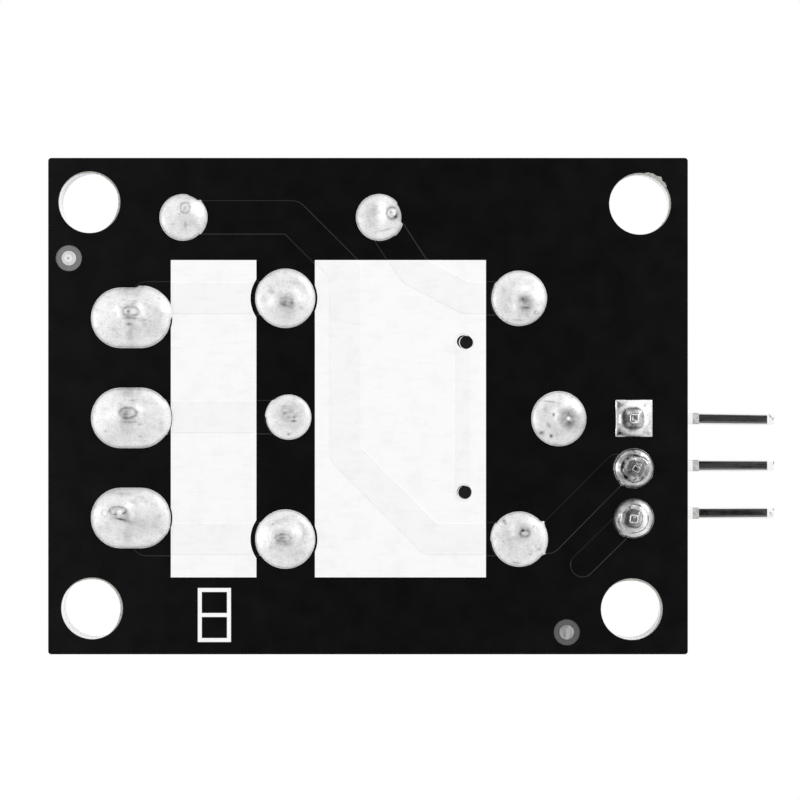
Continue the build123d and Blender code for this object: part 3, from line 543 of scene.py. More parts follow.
pads = {
    "solder_terminal_1": {
        "kind": "oval", "gain": 1.1, "dome": 0.4, "shoulder": 0.8, "top": 1.16, "inset": 0,
        "steps": [(-77, -1, 0.18)], "core": (0.2, 0.13, 0, 0.1, -0.04),
        "marks": [
            (-0.02, -0.01, 0.1, 0.1, -0.34), (0.04, -0.02, 0.38, 0.24, -0.24, 0, 0.2),
            (0.2, -0.56, 0.22, 0.025, -0.3, -8), (0.26, -0.46, 0.2, 0.02, -0.3, -8),
            (-0.35, -0.62, 0.1, 0.03, -0.3), (-0.5, -0.25, 0.12, 0.03, -0.2, 30),
            (0.12, 0.32, 0.42, 0.035, -0.28, 4), (0.62, 0.42, 0.2, 0.03, -0.3, -8),
            (-0.1, 0.62, 0.14, 0.06, -0.25), (0.02, 1, 0.26, 0.85, -0.15), (0, -1.12, 0.55, 0.3, -0.16),
            (-1.15, 0.1, 0.5, 0.7, 0.1), (0.85, -0.2, 0.4, 0.5, 0.05), (1.2, 0.9, 0.8, 0.5, -0.05),
        ],
    },
    "solder_terminal_2": {
        "kind": "oval", "dome": 0.4, "shoulder": 0.8, "top": 1.16, "inset": 0, "steps": [(-27, 25, 0.07)],
        "core": (0.22, 0.15, 0, -0.05, 0.06),
        "marks": [
            (0, 0, 0.12, 0.13, -0.45), (0.06, -0.08, 0.42, 0.26, -0.26, 0, 0.2),
            (0.1, 0.02, 0.55, 0.5, -0.14), (0.28, -0.72, 0.18, 0.03, -0.35, -6),
            (-0.3, -0.5, 0.2, 0.04, -0.15, 25), (0.15, 0.38, 0.4, 0.035, -0.25),
            (0.62, 0.5, 0.1, 0.04, -0.25), (0.1, -1.15, 0.5, 0.3, -0.2), (0, 0.75, 0.35, 0.5, -0.12),
            (-0.9, 1.25, 0.6, 0.3, -0.08), (-1.05, 0.05, 0.4, 0.75, 0.12), (1.1, -0.1, 0.5, 0.6, 0.1),
            (-1.1, 0.85, 0.06, 0.05, -0.3),
        ],
    },
    "solder_terminal_3": {
        "kind": "oval", "gain": 1.25, "dome": 0.42, "shoulder": 0.8, "top": 1.18, "inset": 0,
        "steps": [(12, 24, 0.04)], "core": (0.24, 0.17, 0, -0.5, -0.05),
        "marks": [
            (-0.06, 0, 0.09, 0.13, -0.3), (0.14, 0, 0.09, 0.16, 0.25),
            (0, -0.12, 0.42, 0.2, -0.24, 0, 0.18), (0.42, 0.05, 0.2, 0.25, -0.18),
            (0.5, 0.4, 0.3, 0.18, -0.2, 20), (0.1, 0.3, 0.3, 0.06, -0.3, 15),
            (-0.7, 0, 0.16, 0.16, -0.14, 0, 0.25), (1.15, -0.25, 0.5, 0.45, 0.1, 30),
            (1.1, 0.55, 0.5, 0.4, -0.1, 20), (0.45, 1.15, 0.25, 0.5, -0.12), (0.1, -1, 0.9, 0.16, -0.14),
            (2, 0.6, 0.35, 0.3, -0.06), (-1, 0.9, 0.5, 0.3, -0.04),
        ],
    },
    "solder_normally_open": {
        "gain": 0.8, "steps": [(145, 216, 0.03)], "core": (0.36, 0.16, 12, 0.06, 0.1),
        "marks": [
            (0.02, 0, 0.5, 0.44, -0.2), (0, 0, 0.3, 0.22, -0.16, 10, 0.3), (-0.1, 0.05, 0.1, 0.12, -0.3),
            (0.3, 0.1, 0.2, 0.1, -0.2, 20), (0.72, 0.28, 0.14, 0.1, -0.2),
            (-0.72, -0.5, 0.14, 0.1, -0.24, 20), (0, 0.6, 0.3, 0.35, -0.12), (0.7, -0.7, 0.5, 0.4, 0.06),
            (-0.9, 0.1, 0.4, 0.6, 0.04),
        ],
    },
    "solder_normally_closed": {
        "steps": [(146, 216, 0.03)], "core": (0.34, 0.15, 0, -0.1, 0),
        "marks": [
            (-0.08, 0.03, 0.12, 0.09, -0.35), (0, 0.02, 0.48, 0.4, -0.16),
            (0, 0, 0.36, 0.18, -0.2, 0, 0.25), (0.15, 0.35, 0.35, 0.1, -0.14, 10),
            (-0.55, -0.66, 0.05, 0.05, -0.35), (0.1, -0.15, 0.9, 0.8, -0.06, 0, 0.1),
            (-1, -0.1, 0.35, 0.6, 0.1), (0.4, -0.5, 0.4, 0.3, 0.06), (0.4, 0.9, 0.7, 0.3, -0.06),
        ],
    },
    "solder_coil_start": {
        "gain": 1.15, "top": 0.98, "steps": [(206, 215, 0.03)], "core": (0.2, 0.22, 0, 0.02, 0.12),
        "marks": [
            (-0.05, -0.12, 0.2, 0.14, -0.36), (0.02, 0.02, 0.4, 0.42, -0.18),
            (0.05, 0.28, 0.28, 0.035, -0.3), (0.62, 0.5, 0.1, 0.09, -0.25, 0, 0.35),
            (-0.3, 0.88, 0.6, 0.03, -0.18, 3), (0.1, 0.62, 0.3, 0.2, -0.1), (0, -0.7, 0.5, 0.3, 0.08),
            (-0.9, -0.2, 0.4, 0.7, -0.03), (0.75, -0.2, 0.2, 0.5, 0.06),
        ],
    },
    "solder_coil_end": {
        "gain": 1.15, "dome": 0.28, "top": 0.92,
        "steps": [(176, 214, 0.06), (-37, 32, 0.07), (-38, -30, 0.09), (26, 34, 0.06)],
        "core": (0.18, 0.16, 0, -0.03, -0.3),
        "marks": [
            (0, -0.08, 0.16, 0.08, -0.32, 8), (0.06, 0.08, 0.24, 0.18, -0.18, 0, 0.3),
            (0, 0.1, 0.5, 0.4, -0.08), (-0.98, -0.52, 0.08, 0.1, -0.4, 20),
            (-0.9, -0.4, 0.05, 0.06, -0.3), (-1, 0.5, 0.06, 0.05, -0.25),
            (0.55, -0.28, 0.06, 0.05, -0.25), (-0.28, 1.6, 0.16, 0.06, -0.3),
            (0.36, 1.16, 0.06, 0.05, -0.25), (-0.4, 0.1, 0.5, 0.8, -0.06), (0.8, 0.9, 0.14, 0.08, -0.14),
            (1.1, -0.2, 0.25, 0.5, 0.08),
        ],
    },
    "solder_common": {
        "gain": 1.4, "dome": 0.32, "core": (0.24, 0.24, 0, 0.05, -0.05),
        "marks": [
            (0, -0.05, 0.46, 0.46, -0.28), (0.02, 0.03, 0.1, 0.1, 0.5), (-0.04, 0.16, 0.09, 0.08, -0.2),
            (0.25, -0.62, 0.5, 0.22, 0.15, 25), (-0.55, -0.2, 0.2, 0.3, 0.06),
            (-0.7, -0.15, 0.05, 0.09, -0.35), (-0.95, 0.35, 0.08, 0.14, -0.3, -30),
            (-1.3, 0.75, 0.14, 0.1, -0.35), (-0.82, 0.93, 0.09, 0.1, -0.35), (0.35, 0.5, 0.5, 0.3, -0.1),
            (-0.9, -0.82, 0.45, 0.03, -0.2, 6), (-0.2, 1, 0.7, 0.3, -0.04),
        ],
    },
    "solder_diode_1": {
        "gain": 1.5, "dome": 0.34, "shoulder": 0.7, "top": 0.72,
        "steps": [(-47, 44, 0.08), (-76, -48, -0.04)], "core": (0.19, 0.2, 0, 0.16, -0.43),
        "marks": [
            (0, 0, 0.24, 0.26, -0.16, 0, 0.22), (0.02, 0.02, 0.06, 0.1, -0.15, 20),
            (0, 0.85, 0.07, 0.2, -0.16), (0.1, 0.7, 0.5, 0.4, -0.06), (0.65, 0.1, 0.3, 0.45, 0.1),
            (-0.3, 0.3, 0.04, 0.03, -0.25), (-0.65, 0.8, 0.1, 0.04, -0.15),
            (-0.3, -0.55, 0.2, 0.06, -0.1),
        ],
    },
    "solder_diode_2": {
        "gain": 1.6, "dome": 0.36, "shoulder": 0.7, "top": 0.74,
        "steps": [(14, 50, 0.05), (-38, 14, -0.07)], "core": (0.22, 0.24, 0, 0.64, -0.17),
        "marks": [
            (0, 0, 0.26, 0.3, -0.2, 0, 0.24), (0.18, 0.2, 0.14, 0.16, -0.14),
            (-0.05, -0.02, 0.06, 0.08, -0.2), (-0.5, 0.1, 0.26, 0.85, 0.12), (-1, 0.1, 0.35, 0.8, -0.07),
            (-0.4, 0.85, 0.5, 0.035, -0.12, -14),
        ],
    },
    "solder_link": {
        "gain": 2, "dome": 0.24, "shoulder": 0.7, "top": 0.27, "steps": [(180, 228, 0.05)],
        "core": (0.2, 0.2, 0, 0, 0),
        "marks": [
            (0.05, -0.1, 0.5, 0.45, -0.12), (0.25, 0.2, 0.12, 0.06, -0.18),
            (-0.2, -0.2, 0.1, 0.08, -0.14), (0, 0.85, 0.06, 0.05, -0.25), (-0.6, 0.1, 0.2, 0.4, 0.04),
            (0.3, 0, 0.08, 0.06, -0.14),
        ],
    },
    "solder_header_1": {
        "kind": "square", "bright": True, "dome": 0.06, "shoulder": 0.4, "top": 1.12, "spread": 0.17,
        "core": (0.26, 0.26, 0, -0.06, 0),
        "marks": [
            (-0.05, 0, 0.5, 0.48, -0.2, 0, 0.22), (-0.68, 0.1, 0.3, 0.6, -0.16),
            (0.62, -0.1, 0.34, 1, 0.5), (0.1, -0.75, 0.9, 0.3, 0.4), (0.1, 0, 0.3, 0.3, 0.3),
            (-0.25, -0.3, 0.1, 0.12, 0.7), (-0.66, 0.74, 0.08, 0.06, -0.6), (0.6, 0.7, 0.06, 0.05, -0.5),
            (0.62, -0.8, 0.05, 0.06, -0.4), (0.1, 0.9, 0.7, 0.07, -0.35, 4), (0.86, 0, 0.08, 0.3, -0.25),
            (-0.18, 0, 0.03, 0.2, -0.5), (0, -0.85, 0.7, 0.12, 0.2),
        ],
    },
    "solder_header_2": {
        "bright": True, "dome": 0.24, "shoulder": 0.3, "top": 1.14, "spread": 0.2, "ripple": 0.012,
        "steps": [(122, 136, 0.07)], "core": (0.2, 0.17, 25, 0.02, 0),
        "marks": [
            (0, 0, 0.14, 0.12, -0.5, 25), (0, 0, 0.62, 0.64, -0.4, 0, 0.16),
            (0, 0.04, 0.86, 0.86, -0.2, 0, 0.06), (-0.92, 0, 0.1, 0.6, 0.05, 8),
            (0.02, -0.5, 0.14, 0.05, 0.8), (0.05, 0.62, 0.26, 0.2, 0.6), (-0.72, -0.1, 0.2, 0.5, -0.12),
            (0, 0, 1.3, 1.3, -0.08), (0.7, -0.75, 0.4, 0.2, -0.3, 40), (0, -0.95, 0.6, 0.1, -0.3),
            (0.66, 0.05, 0.12, 0.4, 0.3), (0.4, -0.75, 0.4, 0.08, 0.3, 35), (-0.4, 0.4, 0.4, 0.3, -0.2),
            (0.3, 0.95, 0.6, 0.12, -0.3),
        ],
    },
    "solder_header_3": {
        "bright": True, "dome": 0.24, "shoulder": 0.3, "top": 1.14, "spread": 0.2, "ripple": 0.01,
        "steps": [(118, 134, 0.09)], "core": (0.24, 0.24, 5, -0.08, -0.02),
        "marks": [
            (-0.05, 0, 0.1, 0.12, -0.35), (0.05, 0, 0.42, 0.42, -0.2, 0, 0.2),
            (0.62, -0.1, 0.28, 0.6, 0.55), (-0.75, -0.12, 0.2, 0.5, -0.4),
            (-0.82, 0.45, 0.09, 0.5, 0.3, -24), (-0.66, 0.35, 0.06, 0.5, -0.3, -20),
            (0, -0.62, 0.14, 0.05, 0.45), (-0.3, -0.75, 0.6, 0.2, -0.35), (0.4, 0.7, 0.3, 0.06, 0.35, -8),
            (0.95, 0.2, 0.12, 0.6, -0.25), (-0.2, 0.6, 0.3, 0.3, -0.15),
        ],
    },
}


# A point on a pad's outline, in mm from its middle, going round by angle
def padPoint(kind, halfX, halfY, turn, steps):
    c, s = cos(turn), sin(turn)
    if kind == "round":
        x, y = halfX * c, halfY * s
    elif kind == "oval":
        flat = halfX - halfY
        reachX = abs(halfY / s) if abs(s) * flat > abs(c) * halfY else None
        if reachX is not None:
            x, y = reachX * c, copysign(halfY, s)
        else:
            b = flat * abs(c)
            along = b + sqrt(max(0, b * b - flat * flat + halfY * halfY))
            x, y = along * c, along * s
    else:
        along = min(halfX / max(abs(c), 1e-6), halfY / max(abs(s), 1e-6))
        x, y = along * c, along * s
    grow, soft = 0, moundLook["stepSoftness"]
    for first, last, out in steps:
        inside = (degrees(turn) - first) % 360
        length = last - first
        if inside > 180 + length / 2:
            inside -= 360
        grow += out / (1 + exp(-inside / soft)) / (1 + exp((inside - length) / soft))
    return x, y, 1 + grow / hypot(x, y)


# How far a place lies outside a rounded box, in mm
def outsideBox(x, y, halfX, halfY, turn):
    c, s = cos(radians(turn)), sin(radians(turn))
    x, y = x * c + y * s, y * c - x * s
    corner = min(halfX, halfY) * 0.5
    qx, qy = abs(x) - halfX + corner, abs(y) - halfY + corner
    return hypot(max(qx, 0), max(qy, 0)) + min(max(qx, qy), 0) - corner


# How much the marks lighten or darken a place, given off the core: grey spots and streaks of the joint
# itself, and painted highlights and painted shade
def shading(marks, x, y, seed):
    total = 0
    rate, shift, share = moundLook["markNoise"]
    for mark in marks:
        dx, dy, rx, ry, amount, turn, width = (*mark, 0, 0)[:7]
        c, s = cos(radians(turn)), sin(radians(turn))
        px, py = x - dx, y - dy
        rho = hypot((px * c + py * s) / rx, (py * c - px * s) / ry)
        if rho > moundLook["markReach"]:
            continue
        level = (rho - 1) / width if width else rho
        breakUp = 1 + share * noise.noise(Vector((x * rate, y * rate, seed + dx * shift)))
        total += amount * breakUp * exp(-level * level)
    return total


def solderMound(node, seed, own):
    look = {**moundLook, **own}
    seed *= 7.3
    low, high = spanOf(node)
    centre = (low + high) / 2 / mm
    half = (high - low) / 2 / mm - Vector((1, 1, 0)) * look["inset"]
    place = leadPlaces.get(node, centre)
    coreX, coreY, coreTurn, shiftX, shiftY = look["core"]
    tip = Vector((place.x + shiftX, place.y + shiftY))
    lip, lipWidth, turns = look["lip"], look["lipWidth"], look["turns"]
    climb = look["top"] - lip - look["dome"]
    strength = look["markStrength"] * look["gain"]
    shape = bmesh.new()
    shade = shape.verts.layers.float.new("shade")

    # how far the solder stands out of the board, e mm in from the pad's rim
    def heightAt(x, y, e):
        rise = max(0, min(1, (e - lipWidth) / look["shoulder"]))
        (rate, waveShare), (fineRate, fineShare) = look["waves"], look["fineWaves"]
        wave = noise.noise(Vector((x * rate, y * rate, seed)))
        fine = noise.noise(Vector((x * fineRate, y * fineRate, seed * 2)))
        d = outsideBox(x - tip.x, y - tip.y, coreX, coreY, coreTurn)
        level = lip + look["dome"] * sqrt(1 - (1 - rise) ** 2)
        cone = exp(-(max(0, d) / look["spread"]) ** look["coneFall"])
        cut = look["edgeDrop"] / (1 + exp(-(d + look["edgeOut"]) / look["edgeSoftness"]))
        level += climb * cone - cut * cone * rise
        level += rise * look["waviness"] * (waveShare * wave + fineShare * fine)
        level += look["ripple"] * rise * sin(d * look["rippleRate"] + wave * 3)
        return min(level, look["highest"])

    columns = []
    rim = [0, 0, *look["rimRings"]]
    count, step, between = look["coreRings"], look["coreStep"], look["middleRings"]
    for i in range(turns):
        turn = 2 * pi * i / turns
        px, py, grow = padPoint(look["kind"], half.x, half.y, turn, look["steps"])
        even = (Vector((centre.x + px, centre.y + py)) - tip).length
        out = Vector((centre.x + px * grow, centre.y + py * grow)) - tip
        reach = out.length
        first = min(count * step, reach - rim[-1] - 0.1)
        start = reach - rim[-1]
        stations = [reach - e for e in rim]
        stations += [start + (first - start) * k / (between + 1) for k in range(1, between + 1)]
        stations += [first * k / count for k in range(count, 0, -1)]
        column = []
        for k, r in enumerate(stations):
            x, y = tip.x + out.x * r / reach, tip.y + out.y * r / reach
            e = even - r + (reach - even) * (r / reach) ** look["rimPull"]
            height = (0, lip)[k] if k < 2 else heightAt(x, y, e)
            if 2 <= k and e < lipWidth:
                height = lip
            vert = shape.verts.new((x * mm, y * mm, -height * mm))
            line = look["rimLine"] * exp(-(((e - look["rimLineAt"]) / look["rimLineWidth"]) ** 2))
            # marks: grey spots and streaks, and painted highlights and painted shade, set on each point
            marks = shading(look["marks"], x - tip.x, y - tip.y, seed)
            vert[shade] = marks * strength + (0 if look["bright"] else line)
            column.append(vert)
        columns.append(column)
    bottom = shape.verts.new((tip.x * mm, tip.y * mm, 0))
    top = shape.verts.new((tip.x * mm, tip.y * mm, -heightAt(tip.x, tip.y, 1) * mm))
    top[shade] = shading(look["marks"], 0, 0, seed) * strength
    rings = list(zip(*columns))
    skin(shape, rings)
    fan(shape, rings[-1], top)
    fan(shape, rings[0], bottom)
    material = brightSolder if look["bright"] else dullSolder
    piece = pieceFrom(camel(node), meshFrom(shape, node), material, 60)
    settle(piece, "board", "solder", node)


leads = {
    "solder_normally_open": "normally_open_contact", "solder_normally_closed": "normally_closed_contact",
    "solder_coil_start": "coil_pin_1", "solder_coil_end": "coil_pin_2", "solder_common": "common_pin",
    "solder_diode_1": "diode_lead_1", "solder_diode_2": "diode_lead_2",
}
for number in (1, 2, 3):
    leads[f"solder_terminal_{number}"] = f"contact_strip_{number}"
    leads[f"solder_header_{number}"] = f"header_pin_{number}"
leadPlaces = {joint: lowEnd(lead) / mm for joint, lead in leads.items()}
for seed, (node, own) in enumerate(pads.items(), 1):
    solderMound(node, seed, own)
print("solder joints made:", len(pads))

# Plugged vias: a shallow black plug in each open via, with a bright sliver of tin on its left
viaLook = {
    "back": 2.816,
    "holes": (-3.91, 3.71),
    "shifts": ((0.137, 0.035), (0.061, 0.023)),
    "middle": 0.006,
    "profile": ((0.12, 0.004), (0.22, -0.002), (0.3, -0.006), (0.325, -0.001), (0.33, 0.02)),
    "sliver": (0.338, 0.052),
    "sliverSection": ((0, -0.002), (0.5, -0.008), (1, -0.002), (0.5, 0.02)),
    "sliverTurns": (104, 246, 0.08),  # from and to in degrees, least share of the width
    "turns": 48,
}


def viaPlugs():
    turns, base = viaLook["turns"], spanOf("solder_side_legend")[0].z
    coilX, relayY = middleOf("solder_coil_start").x, middleOf("relay_cover").y
    plugs, slivers = bmesh.new(), bmesh.new()
    inner, reach = (size * mm for size in viaLook["sliver"])
    first, last, least = viaLook["sliverTurns"]

    def pointAt(shape, x, y, r, a, sink):
        return shape.verts.new((x + r * cos(a), y + r * sin(a), base + sink * mm))

    for along, (shiftX, shiftY) in zip(viaLook["holes"], viaLook["shifts"]):
        x, y = coilX + (shiftX - viaLook["back"]) * mm, relayY + (along + shiftY) * mm
        rings = [[pointAt(plugs, x, y, r * mm, 2 * pi * i / turns, sink) for i in range(turns)]
                 for r, sink in viaLook["profile"]]
        plugs.faces.new(rings[-1])
        skin(plugs, rings)
        fan(plugs, rings[0], plugs.verts.new((x, y, base + viaLook["middle"] * mm)))
        rows = []
        for i in range(turns // 2 + 1):
            share = i / (turns // 2)
            a = radians(first + (last - first) * share)
            width = reach * (least + (1 - least) * sin(pi * share))
            rows.append([pointAt(slivers, x, y, inner + width * out, a, sink)
                         for out, sink in viaLook["sliverSection"]])
        skin(slivers, rows)
        slivers.faces.new(rows[0])
        slivers.faces.new(rows[-1])
    ink = mouldedPlastic("viaInk", (0.006, 0.006, 0.006), 0.35, 5, 0.004, 0.3)
    settle(pieceFrom("viaPlugs", meshFrom(plugs, "viaPlugs"), ink), "board", "board_mask")
    settle(pieceFrom("viaSlivers", meshFrom(slivers, "viaSlivers"), dullSolder), "board", "solder")


viaPlugs()
print("via plugs made:", len(viaLook["holes"]))

# Drill burrs: a thin ragged lip of laminate that stands into each mounting hole at the solder side
burrLook = {
    "width": 0.105,
    "least": 0.012,
    "toward": (0.8, -0.6),
    "lean": (0.45, 0.9),  # share of the width on all sides, and what the lean adds
    "slow": (0.04, 1.3),  # waves: mm, noise round the hole
    "ragged": (0.014, 14),
    "slopes": (0.05, 0.3),
    "depth": 0.16,
    "bite": 0.03,
    "turns": 240,
    "colour": (0.5, 0.49, 0.46),
    "flake": 0.13,
    "flakeAt": -0.98,
    "flakeHalf": 0.42,
    "flakeTop": -0.012,
    "flakeNoise": (0.8, 0.5, 12),
    "holes": (  # sides in X and Y, drifts, with a flake or not
        (-1, -1, -0.05, -0.04, False), (1, -1, 0.22, 0.04, True),
        (-1, 1, 0.08, 0, False), (1, 1, -0.2, 0.04, False),
    ),
}
boltHoles = next(m for m in frame["record"]["mounts"] if m["name"] == "board_holes")["dims"]


def drillBurrs():
    finish = Finish("drillBurr")
    fibre = finish.noise(9, 4, 0.6)
    colour = burrLook["colour"]
    colour = finish.ramp(fibre, [(0.3, tuple(c * 0.6 for c in colour)), (0.65, colour)])
    finish.bump(fibre, 0.5, 0.02)
    finish.set(Base_Color=colour, Roughness=0.6, Specular_IOR_Level=0.2)
    shape = bmesh.new()
    turns, bite = burrLook["turns"], burrLook["depth"] * mm
    radius = boltHoles["hole_r_mm"] * mm
    (slow, slowRate), (ragged, raggedRate) = burrLook["slow"], burrLook["ragged"]
    even, lean = burrLook["lean"]
    upper, lower = (share * bite for share in burrLook["slopes"])
    tornEven, tornShare, tornRate = burrLook["flakeNoise"]
    for sideX, sideY, driftX, driftY, flaked in burrLook["holes"]:
        x = (sideX * boltHoles["spacing_x_mm"] / 2 + driftX) * mm
        y = (sideY * boltHoles["spacing_y_mm"] / 2 + driftY) * mm
        seed = 5 + 3 * sideX + 7 * sideY
        rows = []
        for i in range(turns):
            a = 2 * pi * i / turns
            c, s = cos(a), sin(a)
            towards = c * burrLook["toward"][0] + s * burrLook["toward"][1]
            wide = burrLook["width"] * min(1, max(0, even + lean * towards))
            wide += slow * noise.noise(Vector((c * slowRate, s * slowRate, seed)))
            wide += ragged * noise.noise(Vector((c * raggedRate, s * raggedRate, seed)))
            inner = radius - max(burrLook["least"], wide) * mm
            outer, top = radius + burrLook["bite"] * mm, upper
            # a flake of mask torn off beside one hole
            fromFlake = abs(remainder(a - burrLook["flakeAt"], 2 * pi)) / burrLook["flakeHalf"]
            if flaked and fromFlake < 1:
                torn = tornEven + tornShare * noise.noise(Vector((c * tornRate, s * tornRate, seed)))
                torn *= sqrt(1 - fromFlake**2)
                outer = radius + max(burrLook["bite"], burrLook["flake"] * torn) * mm
                top = burrLook["flakeTop"] * mm
            section = ((outer, top), (inner, top + upper), (inner, lower), (outer, bite))
            rows.append([shape.verts.new((x + r * c, y + r * s, z)) for r, z in section])
        skin(shape, rows + rows[:1])
    piece = pieceFrom("drillBurrs", meshFrom(shape, "drillBurrs"), finish.material, 50)
    settle(piece, "board", "board_mask")


drillBurrs()
print("drill burrs made")

# Header pins: one path in the pin's own plane, swept and repeated in Geometry Nodes
pinLook = {
    "width": 0.64,
    "corner": 0.1,
    "bend": 0.9,
    "tip": 0.44,
    "tipShare": 0.78,
    "point": 0.05,
    "pointShare": 0.5,
    "shoulderFrom": 0.45,
    "shoulder": 0.4,
    "shoulderRise": 0.09,
    "shoulderShare": 0.95,
    "band": 0.34,
    "bandRise": 0.042,
    "neck": 0.94,
    "tilts": (0.8, 0.05, -0.2),
}
pinTin = {
    "colour": (0.93, 0.93, 0.92),
    "band": (0.87, 1.2),
    "bandShadeDark": (0.368, 0.368, 0.368),
    "bandShadeLight": (0.6, 0.6, 0.6),
    "side": (0.74, 0.8),
    "sideMetal": 0.84,
    "streaks": (1.0, 0.95),
    "spots": 0.45,
}
pinHigh = spanOf("header_pin_1")[1]
pinYs = [middleOf(f"header_pin_{number}").y / mm for number in (1, 2, 3)]
runHeight = pinHigh.z / mm - pinLook["width"] / 2


# Tin drawn along the pin, with specks at the tip; the greyer band past the shoulder is painted shade, and
# the grey edge on one side is painted light, made with less metal there
def pinFinish():
    finish = Finish("tinnedPin")
    along = finish.axis("Object", "X")
    streaks = finish.noise(2.5, 5, 0.65, (0.12, 3, 3))
    tin = pinTin["colour"]
    colour = finish.ramp(streaks, [(0.3, tuple(c * 0.94 for c in tin)), (0.6, tin)])
    # painted shade on the sloped band past the shoulder
    low, high = (boardHigh.x + share * mm for share in pinTin["band"])
    pastLow, beforeHigh = finish.maths("GREATER_THAN", along, low), finish.maths("LESS_THAN", along, high)
    inBand = finish.maths("MULTIPLY", pastLow, beforeHigh)
    grain = finish.ramp(finish.noise(5, 4), [(0.35, pinTin["bandShadeDark"]), (0.65, pinTin["bandShadeLight"])])
    colour = finish.mix(inBand, colour, grain)
    atTip = finish.maths("GREATER_THAN", along, pinHigh.x - pinLook["tip"] * mm)
    spots = finish.ramp(finish.noise(4, 2), [(0.34, pinTin["spots"]), (0.4, 1.0)])
    colour = finish.mix(atTip, colour, finish.mix(1.0, colour, spots, "MULTIPLY"))
    # painted light: a grey edge on one side of each pin, from a lower metallic share
    front, back = pinTin["side"]
    side = finish.ramp(finish.attribute("side"), [(front, 1.0), (back, pinTin["sideMetal"])])
    streaky = finish.ramp(streaks, [(0.44, pinTin["streaks"][0]), (0.56, pinTin["streaks"][1])])
    metal = finish.mix(1.0, side, streaky, "MULTIPLY")
    sheen = finish.ramp(finish.noise(2.2, 4), [(0.3, 0.08), (0.75, 0.13)])
    finish.bump(streaks, 0.3, 0.002)
    finish.set(Base_Color=colour, Metallic=metal, Roughness=sheen)
    return finish.material


# The pin's middle line as (x, z, share of full width), from the solder side out to the right
def pinPath():
    x0, bend = headerX / mm, pinLook["bend"]
    line = [(x0, leadEnd, 1)]
    steps = 20
    for k in range(steps + 1):
        angle = pi / 2 * k / steps
        line.append((x0 + bend * (1 - cos(angle)), runHeight - bend * (1 - sin(angle)), 1))
    start, end = boardHigh.x / mm + pinLook["shoulderFrom"], pinHigh.x / mm
    line.append((start, runHeight, 1))
    start += pinLook["shoulder"]
    level, neck = runHeight + pinLook["shoulderRise"], pinLook["neck"]
    line.append((start, level, pinLook["shoulderShare"]))
    level += pinLook["bandRise"]
    line.append((start + pinLook["band"], level, neck))
    line.append((end - pinLook["tip"], level, neck))
    line.append((end - pinLook["point"], level, neck * pinLook["tipShare"]))
    line.append((end, level, neck * pinLook["pointShare"]))
    return line


def pinTree(material):
    tree = bpy.data.node_groups.new("pinSweep", "GeometryNodeTree")
    tree.interface.new_socket("Geometry", in_out="INPUT", socket_type="NodeSocketGeometry")
    tree.interface.new_socket("Geometry", in_out="OUTPUT", socket_type="NodeSocketGeometry")
    given = {"Pin Width": pinLook["width"] * mm, "Corner Radius": pinLook["corner"] * mm,
             "Pitch": (pinYs[1] - pinYs[0]) * mm, "First Row": pinYs[0] * mm, "Ways": len(pinYs)}
    for key, value in given.items():
        kind = "NodeSocketInt" if isinstance(value, int) else "NodeSocketFloat"
        tree.interface.new_socket(key, in_out="INPUT", socket_type=kind)
    inputs = tree.nodes.new("NodeGroupInput").outputs
    width = inputs["Pin Width"]
    curve = addNode(tree, "GeometryNodeMeshToCurve", Mesh=inputs["Geometry"])
    share = addNode(tree, "GeometryNodeInputNamedAttribute", {"data_type": "FLOAT"}, Name="share")
    section = addNode(tree, "GeometryNodeCurvePrimitiveQuadrilateral", Width=width, Height=width)
    rounded = addNode(tree, "GeometryNodeFilletCurve", {"mode": "POLY"}, Count=5,
                      Curve=section.outputs["Curve"], Radius=inputs["Corner Radius"])
    sweep = addNode(tree, "GeometryNodeCurveToMesh", Curve=curve.outputs["Curve"], Fill_Caps=True,
                    Profile_Curve=rounded.outputs["Curve"], Scale=share.outputs["Attribute"])
    first = addNode(tree, "ShaderNodeCombineXYZ", Y=inputs["First Row"])
    step = addNode(tree, "ShaderNodeCombineXYZ", Y=inputs["Pitch"])
    row = addNode(tree, "GeometryNodeMeshLine", Count=inputs["Ways"],
                  Start_Location=first.outputs["Vector"], Offset=step.outputs["Vector"])
    copies = addNode(tree, "GeometryNodeInstanceOnPoints", Points=row.outputs["Mesh"],
                     Instance=sweep.outputs["Mesh"])
    solid = addNode(tree, "GeometryNodeRealizeInstances", Geometry=copies.outputs["Instances"])
    paint = addNode(tree, "GeometryNodeSetMaterial", Geometry=solid.outputs["Geometry"], Material=material)
    addNode(tree, "NodeGroupOutput", Geometry=paint.outputs["Geometry"])
    return tree, given


def plainMesh(piece, tree, given):
    modifier = piece.modifiers.new("nodes", "NODES")
    modifier.node_group = tree
    for item in tree.interface.items_tree:
        if item.in_out == "INPUT" and item.name in given:
            modifier[item.identifier] = given[item.name]
    return evaluated(piece)


